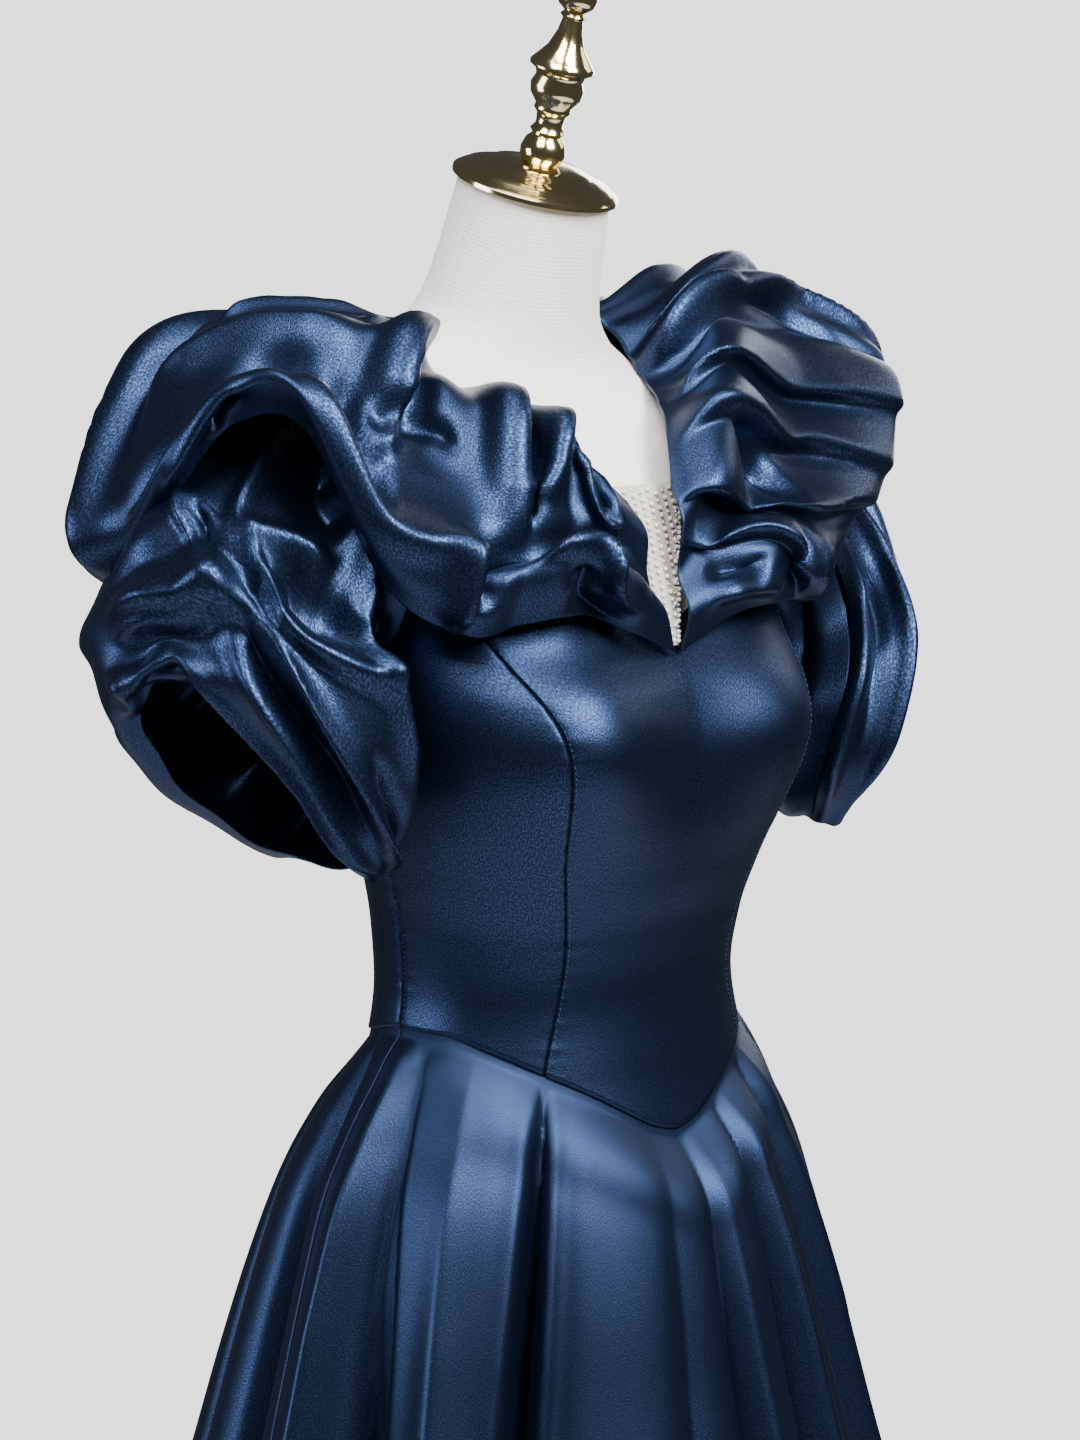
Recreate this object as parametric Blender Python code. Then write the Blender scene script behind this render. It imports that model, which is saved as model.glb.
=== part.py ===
"""Satin prom dress on a limbless dress form.

The dress is built from the pieces that its maker cuts: seven bodice panels, a beaded insert in the V of
the neckline, two swagged collars, two balloon sleeves and three skirt panels. It hangs on a linen-covered
form with a turned metal cap, finial, pole and foot. Every cloth piece is a thin wall, open where the dress
is open.

Tables give places as x, forward and up: x towards the wearer's left, forward from the pole towards the
front of the dress, and up from the natural waist. The finished part has +Z up, faces -Y and stands on
z = 0, with the pole on the Z axis. Lengths are metres and angles are degrees, measured round the figure
from the centre front towards the wearer's left.
"""

import math
from typing import NamedTuple

import bmesh
import bpy
import numpy as np
from mathutils import Vector
from mathutils.bvhtree import BVHTree

WAIST_HEIGHT = 1.06
HEM_CLEARANCE = 0.012

FORM_INSET = 0.0024
CUP_INSET = 0.2
BODICE_GAP = 0.0004
BODICE_WALL = 0.002
SATIN_WALL = 0.0016
SEAM_GAP = 0.0004
CLEAR_OF_BODICE = 0.0040
CLEAR_OF_FORM = -0.0014
UNDER_COLLAR = 0.0045
TUCK_PASSES = 8


class FigureRing(NamedTuple):
    """One level of the figure that the dress is cut for."""

    up: float
    half_width: float
    forward: float
    front: float
    back: float
    square: float
    lean: float


FIGURE = (
    FigureRing(up=-0.270, half_width=0.172, forward=0.000, front=0.116, back=0.120, square=2.2, lean=0.0),
    FigureRing(up=-0.160, half_width=0.160, forward=0.000, front=0.112, back=0.112, square=2.2, lean=0.0),
    FigureRing(up=-0.080, half_width=0.138, forward=0.002, front=0.103, back=0.098, square=2.2, lean=0.0),
    FigureRing(up=-0.030, half_width=0.121, forward=0.002, front=0.093, back=0.089, square=2.2, lean=0.0),
    FigureRing(up=0.015, half_width=0.113, forward=0.002, front=0.088, back=0.086, square=2.2, lean=0.0),
    FigureRing(up=0.050, half_width=0.116, forward=0.003, front=0.092, back=0.086, square=2.25, lean=0.0),
    FigureRing(up=0.083, half_width=0.124, forward=0.004, front=0.100, back=0.086, square=2.3, lean=0.0),
    FigureRing(up=0.120, half_width=0.134, forward=0.004, front=0.109, back=0.090, square=2.4, lean=0.0),
    FigureRing(up=0.160, half_width=0.142, forward=0.002, front=0.114, back=0.094, square=2.5, lean=0.0),
    FigureRing(up=0.190, half_width=0.147, forward=-0.001, front=0.109, back=0.097, square=2.5, lean=0.0),
    FigureRing(up=0.220, half_width=0.150, forward=-0.004, front=0.096, back=0.099, square=2.5, lean=0.0),
    FigureRing(up=0.260, half_width=0.154, forward=-0.012, front=0.092, back=0.098, square=2.4, lean=0.0),
    FigureRing(up=0.300, half_width=0.162, forward=-0.020, front=0.088, back=0.088, square=2.3, lean=2.0),
    FigureRing(up=0.335, half_width=0.163, forward=-0.030, front=0.080, back=0.074, square=2.2, lean=8.0),
    FigureRing(up=0.352, half_width=0.148, forward=-0.035, front=0.070, back=0.062, square=2.1, lean=12.0),
    FigureRing(up=0.365, half_width=0.122, forward=-0.038, front=0.060, back=0.055, square=2.0, lean=15.0),
    FigureRing(up=0.378, half_width=0.095, forward=-0.038, front=0.054, back=0.051, square=2.0, lean=17.0),
    FigureRing(up=0.392, half_width=0.074, forward=-0.036, front=0.048, back=0.050, square=2.0, lean=18.0),
    FigureRing(up=0.410, half_width=0.060, forward=-0.032, front=0.046, back=0.048, square=2.0, lean=18.3),
    FigureRing(up=0.440, half_width=0.053, forward=-0.024, front=0.045, back=0.046, square=2.0, lean=18.3),
    FigureRing(up=0.476, half_width=0.0485, forward=-0.0135, front=0.044, back=0.044, square=2.0, lean=18.3),
)

CUP_X = 0.086
CUP_UP = 0.174
CUP_DEPTH = 0.022
CUP_HALF_WIDTH = 0.052
CUP_RISE = 0.050
CUP_DROP = 0.062


def smooth(at, knots, values, overshoot=False):
    """Values of a table between its rows, on a smooth curve.

    Args:
        at: Places to read, in the units of knots.
        knots: Rising places of the rows.
        values: One row of numbers for each knot.
        overshoot: True follows the rows loosely, as a draped line does. False never passes a row's value.

    Returns:
        An array with one more axis than at, for the columns.
    """
    knots, values = np.asarray(knots, float), np.asarray(values, float)
    step = np.diff(knots)
    slope = np.diff(values, axis=0) / step[:, None]
    tangent = np.empty_like(values)
    tangent[0], tangent[-1] = slope[0], slope[-1]
    if overshoot:
        tangent[1:-1] = (slope[:-1] * step[1:, None] + slope[1:] * step[:-1, None]) / (
            step[1:, None] + step[:-1, None]
        )
    else:
        product = slope[:-1] * slope[1:]
        total = slope[:-1] + slope[1:]
        tangent[1:-1] = np.where(product > 0, 2 * product / np.where(total == 0, 1, total), 0)
    at = np.clip(np.asarray(at, float), knots[0], knots[-1])
    i = np.clip(np.searchsorted(knots, at, side="right") - 1, 0, len(step) - 1)
    u = ((at - knots[i]) / step[i])[..., None]
    h = step[i][..., None]
    return (
        (1 + 2 * u) * (1 - u) ** 2 * values[i]
        + u * (1 - u) ** 2 * h * tangent[i]
        + u * u * (3 - 2 * u) * values[i + 1]
        + u * u * (u - 1) * h * tangent[i + 1]
    )


def figure_ring(level):
    """Half width, forward, front, back, square and lean of the figure at each level."""
    table = np.array(FIGURE)
    return np.moveaxis(smooth(level, table[:, 0], table[:, 1:]), -1, 0)


def cup_depth(x, up):
    """How far the bodice's cups stand forward of the plain ring."""
    spread = np.where(up > CUP_UP, CUP_RISE, CUP_DROP)
    beside, above = (np.abs(x) - CUP_X) / CUP_HALF_WIDTH, (up - CUP_UP) / spread
    return CUP_DEPTH * np.exp(-(beside**2) - above**2)


def figure_point(angle, level):
    """Points (x, forward, up) on the figure, at angles in degrees and levels above the waist."""
    half_width, middle, front, back, square, lean = figure_ring(level)
    sine, cosine = np.sin(np.radians(angle)), np.cos(np.radians(angle))
    x = half_width * np.sign(sine) * np.abs(sine) ** (2 / square)
    depth = np.where(cosine > 0, front, back)
    ahead = depth * np.sign(cosine) * np.abs(cosine) ** (2 / square)
    up = level - ahead * np.tan(np.radians(lean))
    cup = cup_depth(x, up) * np.clip(ahead / 0.05, 0, 1)
    return np.stack([x, middle + ahead + cup, up], axis=-1)


def figure_ratio(points):
    """1 on the figure's surface, less inside it and more outside, for points (x, forward, up)."""
    x, forward, up = np.moveaxis(points, -1, 0)
    level = up
    half_width, middle, front, back, square, lean = figure_ring(level)
    for _ in range(3):
        level = up + (forward - middle) * np.tan(np.radians(lean))
        half_width, middle, front, back, square, lean = figure_ring(level)
    ahead = forward - middle
    ahead = ahead - cup_depth(x, up) * np.clip(ahead / 0.05, 0, 1)
    depth = np.where(ahead > 0, front, back)
    return ((np.abs(x) / half_width) ** square + (np.abs(ahead) / depth) ** square) ** (1 / square)


def figure_slope(points):
    """The gradient of figure_ratio at points (x, forward, up)."""
    reach = 0.0005
    steps = np.eye(3) * reach
    rises = [figure_ratio(points + step) - figure_ratio(points - step) for step in steps]
    return np.stack(rises, axis=-1) / (2 * reach)


def moved_out(points, distance):
    """Points on the figure, moved out along its normal."""
    slope = figure_slope(points)
    return points + slope / np.linalg.norm(slope, axis=-1, keepdims=True) * np.asarray(distance)[..., None]


def kept_clear(points, clearance):
    """Points (x, forward, up), with those nearer the figure than the clearance moved out to it."""
    for _ in range(6):
        slope = figure_slope(points)
        size = np.linalg.norm(slope, axis=-1)
        gap = (figure_ratio(points) - 1) / size
        short = np.clip(clearance - gap, 0, 0.02)
        points = points + slope / size[..., None] * short[..., None]
    return points


def landed(points, distance):
    """Points (x, forward, up) moved along the figure's normal until they are the distance from it."""
    for _ in range(8):
        slope = figure_slope(points)
        size = np.linalg.norm(slope, axis=-1, keepdims=True)
        gap = (figure_ratio(points)[..., None] - 1) / size
        points = points + slope / size * np.clip(distance - gap, -0.01, 0.01)
    return points


def world(points):
    """Points (x, forward, up) in the part's own frame."""
    points = np.asarray(points, float)
    return np.stack([points[..., 0], -points[..., 1], WAIST_HEIGHT + points[..., 2]], axis=-1)


def material(name, colour, roughness, metallic=0.0):
    """A Principled material with one colour."""
    made = bpy.data.materials.new(name)
    made.use_nodes = True
    shader = made.node_tree.nodes["Principled BSDF"]
    shader.inputs["Base Color"].default_value = (*colour, 1.0)
    shader.inputs["Roughness"].default_value = roughness
    shader.inputs["Metallic"].default_value = metallic
    return made


def finished(name, mesh, finish):
    """The mesh as an object with smooth faces and its material."""
    for polygon in mesh.polygons:
        polygon.use_smooth = True
    mesh.materials.append(finish)
    made = bpy.data.objects.new(name, mesh)
    bpy.context.scene.collection.objects.link(made)
    return made


def sheet_mesh(name, points, around=False):
    """A sheet through a grid of world points, one row of vertices for each row of points.

    Args:
        name: The mesh's name.
        points: An array of rows, columns and three coordinates.
        around: True joins the last column to the first.
    """
    rows, columns = points.shape[:2]
    build = bmesh.new()
    grid = [[build.verts.new(point) for point in row] for row in points]
    for row in range(rows - 1):
        for column in range(columns if around else columns - 1):
            following = (column + 1) % columns
            build.faces.new(
                (grid[row][column], grid[row][following], grid[row + 1][following], grid[row + 1][column])
            )
    mesh = bpy.data.meshes.new(name)
    build.to_mesh(mesh)
    build.free()
    return mesh


def cloth(name, points, finish, wall, around=False, flip=False):
    """A cloth piece: a sheet whose wall grows outwards from its points (x, forward, up)."""
    mesh = sheet_mesh(name, world(points[:, ::-1] if flip else points), around)
    made = finished(name, mesh, finish)
    thickness = made.modifiers.new("wall", "SOLIDIFY")
    thickness.thickness = wall
    thickness.offset = 1.0
    thickness.use_even_offset = False
    return made


def turned(name, profile, finish, segments, place=(0.0, 0.0, 0.0), lean=0.0):
    """A solid of revolution from (radius, height) points, the first and last on its axis.

    Args:
        name: The object's name.
        profile: Outline points from the bottom to the top.
        finish: The material.
        segments: Sides round the axis.
        place: World position of the profile's height 0.
        lean: Forward tilt of the axis, in degrees.
    """
    build = bmesh.new()
    verts = [build.verts.new((radius, 0.0, height)) for radius, height in profile]
    edges = [build.edges.new(pair) for pair in zip(verts, verts[1:])]
    bmesh.ops.spin(
        build,
        geom=verts + edges,
        cent=(0, 0, 0),
        axis=(0, 0, 1),
        angle=math.tau,
        steps=segments,
        use_merge=True,
    )
    bmesh.ops.remove_doubles(build, verts=build.verts, dist=1e-5)
    bmesh.ops.recalc_face_normals(build, faces=build.faces)
    mesh = bpy.data.meshes.new(name)
    build.to_mesh(mesh)
    build.free()
    made = finished(name, mesh, finish)
    mesh.set_sharp_from_angle(angle=math.radians(40))
    made.location = place
    made.rotation_euler = (math.radians(lean), 0.0, 0.0)
    return made


class SeamPoint(NamedTuple):
    """Where the bodice's seams lie at one level, as angles round the figure."""

    up: float
    princess: float
    side: float
    back_princess: float


SEAMS = (
    SeamPoint(up=-0.070, princess=43.0, side=94.0, back_princess=141.0),
    SeamPoint(up=-0.027, princess=39.5, side=94.0, back_princess=142.0),
    SeamPoint(up=0.044, princess=33.6, side=93.0, back_princess=147.0),
    SeamPoint(up=0.107, princess=37.0, side=93.0, back_princess=147.0),
    SeamPoint(up=0.173, princess=39.5, side=93.0, back_princess=143.0),
    SeamPoint(up=0.210, princess=45.0, side=93.0, back_princess=138.0),
    SeamPoint(up=0.265, princess=57.0, side=93.0, back_princess=128.0),
)


class EdgePoint(NamedTuple):
    """Levels of the bodice's waist seam and top edge at one angle."""

    angle: float
    waist: float
    top: float


BODICE_EDGES = (
    EdgePoint(angle=0.0, waist=-0.067, top=0.226),
    EdgePoint(angle=6.0, waist=-0.0625, top=0.236),
    EdgePoint(angle=14.0, waist=-0.0525, top=0.252),
    EdgePoint(angle=24.0, waist=-0.041, top=0.262),
    EdgePoint(angle=39.5, waist=-0.027, top=0.264),
    EdgePoint(angle=58.0, waist=-0.014, top=0.258),
    EdgePoint(angle=76.0, waist=-0.006, top=0.232),
    EdgePoint(angle=94.0, waist=-0.006, top=0.222),
    EdgePoint(angle=112.0, waist=-0.012, top=0.234),
    EdgePoint(angle=130.0, waist=-0.017, top=0.262),
    EdgePoint(angle=180.0, waist=-0.020, top=0.285),
)

BODICE_ROWS = 12
BODICE_PANELS = (
    ("bodice_front", "-princess", "princess", 10),
    ("bodice_side_front_left", "princess", "side", 6),
    ("bodice_side_front_right", "-side", "-princess", 6),
    ("bodice_side_back_left", "side", "back_princess", 5),
    ("bodice_side_back_right", "-back_princess", "-side", 5),
    ("bodice_back_left", "back_princess", "centre_back", 4),
    ("bodice_back_right", "-centre_back", "-back_princess", 4),
)


def edge_levels(angle):
    """Waist seam and top edge of the bodice at each angle."""
    table = np.array(BODICE_EDGES)
    levels = smooth(np.abs(angle), table[:, 0], table[:, 1:])
    return levels[..., 0], levels[..., 1]


def seam_angle(name, level):
    """The angle of a named seam at each level, with a minus sign for the wearer's right."""
    if name.startswith("-"):
        return -seam_angle(name[1:], level)
    if name == "centre_back":
        return np.full_like(level, 180.0)
    table = np.array(SEAMS)
    column = SeamPoint._fields.index(name)
    return smooth(level, table[:, 0], table[:, column : column + 1])[..., 0]


def bodice_grid(start, end, rows, columns):
    """Points of the bodice's inner face between two seams, from the waist seam up.

    Args:
        start: Name of the seam on the wearer's right of the panel.
        end: Name of the seam on the wearer's left of the panel.
        rows: Number of rows of points.
        columns: Number of columns of points.
    """
    rise, across = np.meshgrid(np.linspace(0, 1, rows), np.linspace(0, 1, columns), indexing="ij")
    level = -0.02 + 0.26 * rise
    for _ in range(5):
        angle = seam_angle(start, level) * (1 - across) + seam_angle(end, level) * across
        waist, top = edge_levels(angle)
        level = waist + (top - waist) * rise
    inset = SEAM_GAP / 2 / 0.11
    angle = angle + np.degrees(inset) * (1 - 2 * across) * (np.abs(1 - 2 * across) > 0.999)
    return moved_out(figure_point(angle, level), np.full(angle.shape, BODICE_GAP))


def build_bodice(finish):
    """The seven bodice panels."""
    for name, start, end, columns in BODICE_PANELS:
        cloth(name, bodice_grid(start, end, BODICE_ROWS, columns + 1), finish, BODICE_WALL)


INSERT_WALL = 0.001
INSERT_BOTTOM, INSERT_TOP = 0.2135, 0.308
INSERT_HALF_BOTTOM, INSERT_HALF_TOP = 0.004, 0.034
ON_BODICE = BODICE_GAP + BODICE_WALL + SEAM_GAP * 2
INSERT_LIFT = 0.0012


def build_insert(finish):
    """The beaded panel in the V of the neckline, from the V's point up."""
    rise, across = np.meshgrid(np.linspace(0, 1, 7), np.linspace(-1, 1, 7), indexing="ij")
    level = INSERT_BOTTOM + (INSERT_TOP - INSERT_BOTTOM) * rise
    half = INSERT_HALF_BOTTOM + (INSERT_HALF_TOP - INSERT_HALF_BOTTOM) * rise
    half_width, _, _, _, square, _ = figure_ring(level)
    x = half * across
    angle = np.degrees(np.arcsin(np.sign(x) * (np.abs(x) / half_width) ** (square / 2)))
    points = moved_out(figure_point(angle, level), np.full(x.shape, ON_BODICE + INSERT_LIFT))
    cloth("v_insert", points, finish, INSERT_WALL)


class CollarSection(NamedTuple):
    """One section of the collar, from its seam at the neckline to its turned edge."""

    along: float
    seam: tuple
    roll: tuple
    valley: tuple
    lip: tuple
    edge: tuple


COLLAR_LEFT = (
    CollarSection(
        along=0.00,
        seam=(0.009, 0.088, 0.305),
        roll=(0.007, 0.101, 0.283),
        valley=(0.006, 0.097, 0.258),
        lip=(0.004, 0.108, 0.235),
        edge=(0.002, 0.103, 0.213),
    ),
    CollarSection(
        along=0.08,
        seam=(0.034, 0.060, 0.337),
        roll=(0.042, 0.092, 0.322),
        valley=(0.044, 0.094, 0.285),
        lip=(0.045, 0.116, 0.258),
        edge=(0.044, 0.108, 0.232),
    ),
    CollarSection(
        along=0.17,
        seam=(0.058, 0.030, 0.350),
        roll=(0.072, 0.072, 0.352),
        valley=(0.080, 0.086, 0.305),
        lip=(0.088, 0.116, 0.272),
        edge=(0.088, 0.106, 0.236),
    ),
    CollarSection(
        along=0.28,
        seam=(0.080, -0.004, 0.362),
        roll=(0.105, 0.042, 0.382),
        valley=(0.125, 0.062, 0.325),
        lip=(0.156, 0.090, 0.270),
        edge=(0.150, 0.080, 0.236),
    ),
    CollarSection(
        along=0.37,
        seam=(0.082, -0.018, 0.374),
        roll=(0.130, 0.015, 0.406),
        valley=(0.168, 0.036, 0.362),
        lip=(0.216, 0.072, 0.312),
        edge=(0.200, 0.062, 0.280),
    ),
    CollarSection(
        along=0.45,
        seam=(0.081, -0.030, 0.387),
        roll=(0.155, -0.010, 0.420),
        valley=(0.200, 0.006, 0.402),
        lip=(0.250, 0.050, 0.358),
        edge=(0.230, 0.040, 0.330),
    ),
    CollarSection(
        along=0.53,
        seam=(0.077, -0.041, 0.397),
        roll=(0.168, -0.035, 0.424),
        valley=(0.214, -0.022, 0.404),
        lip=(0.266, 0.022, 0.370),
        edge=(0.246, 0.014, 0.340),
    ),
    CollarSection(
        along=0.62,
        seam=(0.072, -0.050, 0.400),
        roll=(0.175, -0.060, 0.416),
        valley=(0.222, -0.056, 0.386),
        lip=(0.276, -0.020, 0.340),
        edge=(0.256, -0.022, 0.312),
    ),
    CollarSection(
        along=0.71,
        seam=(0.066, -0.062, 0.399),
        roll=(0.168, -0.085, 0.406),
        valley=(0.216, -0.092, 0.368),
        lip=(0.272, -0.070, 0.314),
        edge=(0.256, -0.066, 0.290),
    ),
    CollarSection(
        along=0.80,
        seam=(0.056, -0.076, 0.395),
        roll=(0.145, -0.108, 0.390),
        valley=(0.188, -0.118, 0.335),
        lip=(0.238, -0.122, 0.286),
        edge=(0.228, -0.110, 0.260),
    ),
    CollarSection(
        along=0.90,
        seam=(0.034, -0.088, 0.390),
        roll=(0.090, -0.124, 0.375),
        valley=(0.118, -0.130, 0.312),
        lip=(0.142, -0.140, 0.262),
        edge=(0.138, -0.126, 0.230),
    ),
    CollarSection(
        along=1.00,
        seam=(0.0006, -0.096, 0.382),
        roll=(0.0006, -0.124, 0.366),
        valley=(0.0006, -0.126, 0.306),
        lip=(0.0006, -0.138, 0.256),
        edge=(0.0006, -0.127, 0.220),
    ),
)
COLLAR_RIGHT = (
    CollarSection(
        along=0.00,
        seam=(0.012, 0.088, 0.298),
        roll=(0.009, 0.101, 0.280),
        valley=(0.008, 0.097, 0.257),
        lip=(0.006, 0.108, 0.235),
        edge=(0.002, 0.103, 0.213),
    ),
    CollarSection(
        along=0.08,
        seam=(0.036, 0.064, 0.326),
        roll=(0.042, 0.094, 0.306),
        valley=(0.044, 0.096, 0.280),
        lip=(0.045, 0.116, 0.255),
        edge=(0.044, 0.110, 0.228),
    ),
    CollarSection(
        along=0.17,
        seam=(0.058, 0.030, 0.350),
        roll=(0.072, 0.074, 0.342),
        valley=(0.080, 0.086, 0.302),
        lip=(0.086, 0.116, 0.272),
        edge=(0.088, 0.106, 0.240),
    ),
    CollarSection(
        along=0.28,
        seam=(0.080, -0.004, 0.362),
        roll=(0.108, 0.046, 0.356),
        valley=(0.128, 0.062, 0.318),
        lip=(0.148, 0.094, 0.268),
        edge=(0.150, 0.084, 0.234),
    ),
    CollarSection(
        along=0.37,
        seam=(0.082, -0.018, 0.374),
        roll=(0.128, 0.018, 0.386),
        valley=(0.162, 0.034, 0.346),
        lip=(0.202, 0.072, 0.292),
        edge=(0.192, 0.066, 0.264),
    ),
    CollarSection(
        along=0.45,
        seam=(0.081, -0.030, 0.387),
        roll=(0.150, -0.006, 0.398),
        valley=(0.188, 0.008, 0.370),
        lip=(0.232, 0.046, 0.344),
        edge=(0.216, 0.038, 0.314),
    ),
    CollarSection(
        along=0.53,
        seam=(0.077, -0.041, 0.397),
        roll=(0.165, -0.035, 0.402),
        valley=(0.204, -0.022, 0.376),
        lip=(0.246, 0.014, 0.376),
        edge=(0.230, 0.006, 0.346),
    ),
    CollarSection(
        along=0.62,
        seam=(0.072, -0.050, 0.400),
        roll=(0.175, -0.064, 0.404),
        valley=(0.212, -0.056, 0.372),
        lip=(0.264, -0.018, 0.350),
        edge=(0.246, -0.020, 0.320),
    ),
    CollarSection(
        along=0.71,
        seam=(0.066, -0.062, 0.399),
        roll=(0.185, -0.090, 0.402),
        valley=(0.220, -0.094, 0.362),
        lip=(0.266, -0.066, 0.316),
        edge=(0.250, -0.062, 0.290),
    ),
    CollarSection(
        along=0.80,
        seam=(0.056, -0.076, 0.395),
        roll=(0.176, -0.114, 0.390),
        valley=(0.214, -0.124, 0.344),
        lip=(0.256, -0.120, 0.290),
        edge=(0.242, -0.106, 0.262),
    ),
    CollarSection(
        along=0.90,
        seam=(0.034, -0.088, 0.390),
        roll=(0.104, -0.126, 0.378),
        valley=(0.132, -0.134, 0.318),
        lip=(0.160, -0.144, 0.266),
        edge=(0.154, -0.130, 0.236),
    ),
    CollarSection(
        along=1.00,
        seam=(0.0006, -0.096, 0.382),
        roll=(0.0006, -0.124, 0.366),
        valley=(0.0006, -0.126, 0.306),
        lip=(0.0006, -0.138, 0.256),
        edge=(0.0006, -0.127, 0.220),
    ),
)
COLLAR_ACROSS = (0.0, 0.27, 0.50, 0.78, 1.0)
COLLAR_ROWS, COLLAR_COLUMNS = 14, 33
COLLAR_LENGTH, COLLAR_DEPTH = 0.60, 0.18


class Fold(NamedTuple):
    """A fold line on a draped piece: a ridge, or a groove where its height is below zero.

    Places are shares of the piece's length and depth, and the half width and height are metres.
    """

    along: float
    across: float
    to_along: float
    to_across: float
    half_width: float
    height: float


RIGHT_COLLAR_FOLDS = (
    Fold(along=0.245, across=-0.10, to_along=0.235, to_across=0.68, half_width=0.015, height=0.010),
    Fold(along=0.205, across=-0.10, to_along=0.205, to_across=0.70, half_width=0.010, height=-0.010),
    Fold(along=0.165, across=-0.10, to_along=0.185, to_across=0.66, half_width=0.013, height=0.010),
    Fold(along=0.120, across=-0.05, to_along=0.160, to_across=0.66, half_width=0.011, height=-0.007),
    Fold(along=0.070, across=0.05, to_along=0.095, to_across=0.60, half_width=0.012, height=0.007),
    Fold(along=0.280, across=0.67, to_along=-0.02, to_across=0.60, half_width=0.010, height=-0.010),
    Fold(along=0.285, across=0.66, to_along=0.265, to_across=1.10, half_width=0.012, height=0.008),
    Fold(along=0.235, across=0.66, to_along=0.225, to_across=1.10, half_width=0.010, height=-0.008),
    Fold(along=0.205, across=0.80, to_along=0.050, to_across=0.80, half_width=0.014, height=0.008),
    Fold(along=0.390, across=0.00, to_along=0.380, to_across=0.50, half_width=0.014, height=0.009),
    Fold(along=0.345, across=0.05, to_along=0.330, to_across=0.56, half_width=0.013, height=-0.010),
    Fold(along=0.720, across=-0.05, to_along=0.740, to_across=0.90, half_width=0.015, height=-0.008),
    Fold(along=0.780, across=-0.05, to_along=0.800, to_across=0.95, half_width=0.016, height=0.009),
    Fold(along=0.850, across=-0.05, to_along=0.860, to_across=0.95, half_width=0.014, height=-0.008),
    Fold(along=0.915, across=-0.05, to_along=0.920, to_across=0.95, half_width=0.016, height=0.008),
)
LEFT_COLLAR_FOLDS = (
    Fold(along=-0.02, across=0.26, to_along=0.24, to_across=0.74, half_width=0.015, height=-0.008),
    Fold(along=0.00, across=-0.05, to_along=0.28, to_across=0.62, half_width=0.018, height=0.009),
    Fold(along=0.15, across=-0.05, to_along=0.38, to_across=0.62, half_width=0.016, height=-0.010),
    Fold(along=0.26, across=-0.05, to_along=0.46, to_across=0.66, half_width=0.018, height=0.010),
    Fold(along=0.36, across=-0.05, to_along=0.54, to_across=0.66, half_width=0.015, height=-0.008),
    Fold(along=0.720, across=-0.05, to_along=0.740, to_across=0.90, half_width=0.015, height=-0.008),
    Fold(along=0.780, across=-0.05, to_along=0.800, to_across=0.95, half_width=0.016, height=0.009),
    Fold(along=0.850, across=-0.05, to_along=0.860, to_across=0.95, half_width=0.014, height=-0.008),
    Fold(along=0.915, across=-0.05, to_along=0.920, to_across=0.95, half_width=0.016, height=0.008),
)


def folded(points, along, across, folds, length, depth):
    """Points of a draped grid, moved along its normals by its folds.

    Args:
        points: Rows across the piece, columns along it.
        along: Share of the length at each point.
        across: Share of the depth at each point.
        folds: The fold table.
        length: Length of the piece in metres.
        depth: Depth of the piece in metres.
    """
    normal = np.cross(np.gradient(points, axis=1), np.gradient(points, axis=0))
    normal /= np.linalg.norm(normal, axis=-1, keepdims=True)
    height = np.zeros(along.shape)
    for fold in folds:
        run = np.array([(fold.to_along - fold.along) * length, (fold.to_across - fold.across) * depth])
        offset = np.stack([(along - fold.along) * length, (across - fold.across) * depth], axis=-1)
        share = np.clip(offset @ run / (run @ run), 0, 1)
        distance = np.linalg.norm(offset - share[..., None] * run, axis=-1)
        ends = np.clip(5 * share, 0, 1) * np.clip(5 * (1 - share), 0, 1)
        height += fold.height * ends * np.exp(-((distance / fold.half_width) ** 2))
    return points + normal * height[..., None]


def collar_point(sections, along, across):
    """Points of a collar's under side, with x growing outwards on either side.

    Args:
        sections: The collar's table.
        along: From 0 at the centre front to 1 at the centre back.
        across: From 0 at the neckline to 1 at the turned edge.
    """
    knots = np.array([section.along for section in sections])
    shape = np.shape(along)
    lines = [
        smooth(along, knots, np.array([section[column] for section in sections]), overshoot=True)
        for column in range(1, 6)
    ]
    ribs = np.stack(lines, axis=-2).reshape(-1, 5, 3)
    flat = np.ravel(across)
    points = np.array(
        [smooth(value, COLLAR_ACROSS, rib, overshoot=True) for value, rib in zip(flat, ribs)]
    )
    return points.reshape(*shape, 3)


def build_collars(finish):
    """The pleated collar on each side, from the centre front over the shoulder to the centre back."""
    across, along = np.meshgrid(
        np.linspace(0, 1, COLLAR_ROWS), np.linspace(0, 1, COLLAR_COLUMNS), indexing="ij"
    )
    clearance = CLEAR_OF_FORM + (CLEAR_OF_BODICE - CLEAR_OF_FORM) * np.clip(across * 4, 0, 1)
    left = collar_point(COLLAR_LEFT, along, across)
    left = folded(left, along, across, LEFT_COLLAR_FOLDS, COLLAR_LENGTH, COLLAR_DEPTH)
    right = collar_point(COLLAR_RIGHT, along, across)
    right = folded(right, along, across, RIGHT_COLLAR_FOLDS, COLLAR_LENGTH, COLLAR_DEPTH)
    left, right = kept_clear(left, clearance), kept_clear(right, clearance)
    return (
        cloth("collar_left", left, finish, SATIN_WALL, flip=True),
        cloth("collar_right", right * (-1, 1, 1), finish, SATIN_WALL),
    )


class SleeveRing(NamedTuple):
    """One ring of the balloon sleeve: its centre, the way its tube runs there, and its two half sizes."""

    x: float
    forward: float
    up: float
    pitch: float
    yaw: float
    roll: float
    wide: float
    tall: float


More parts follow.
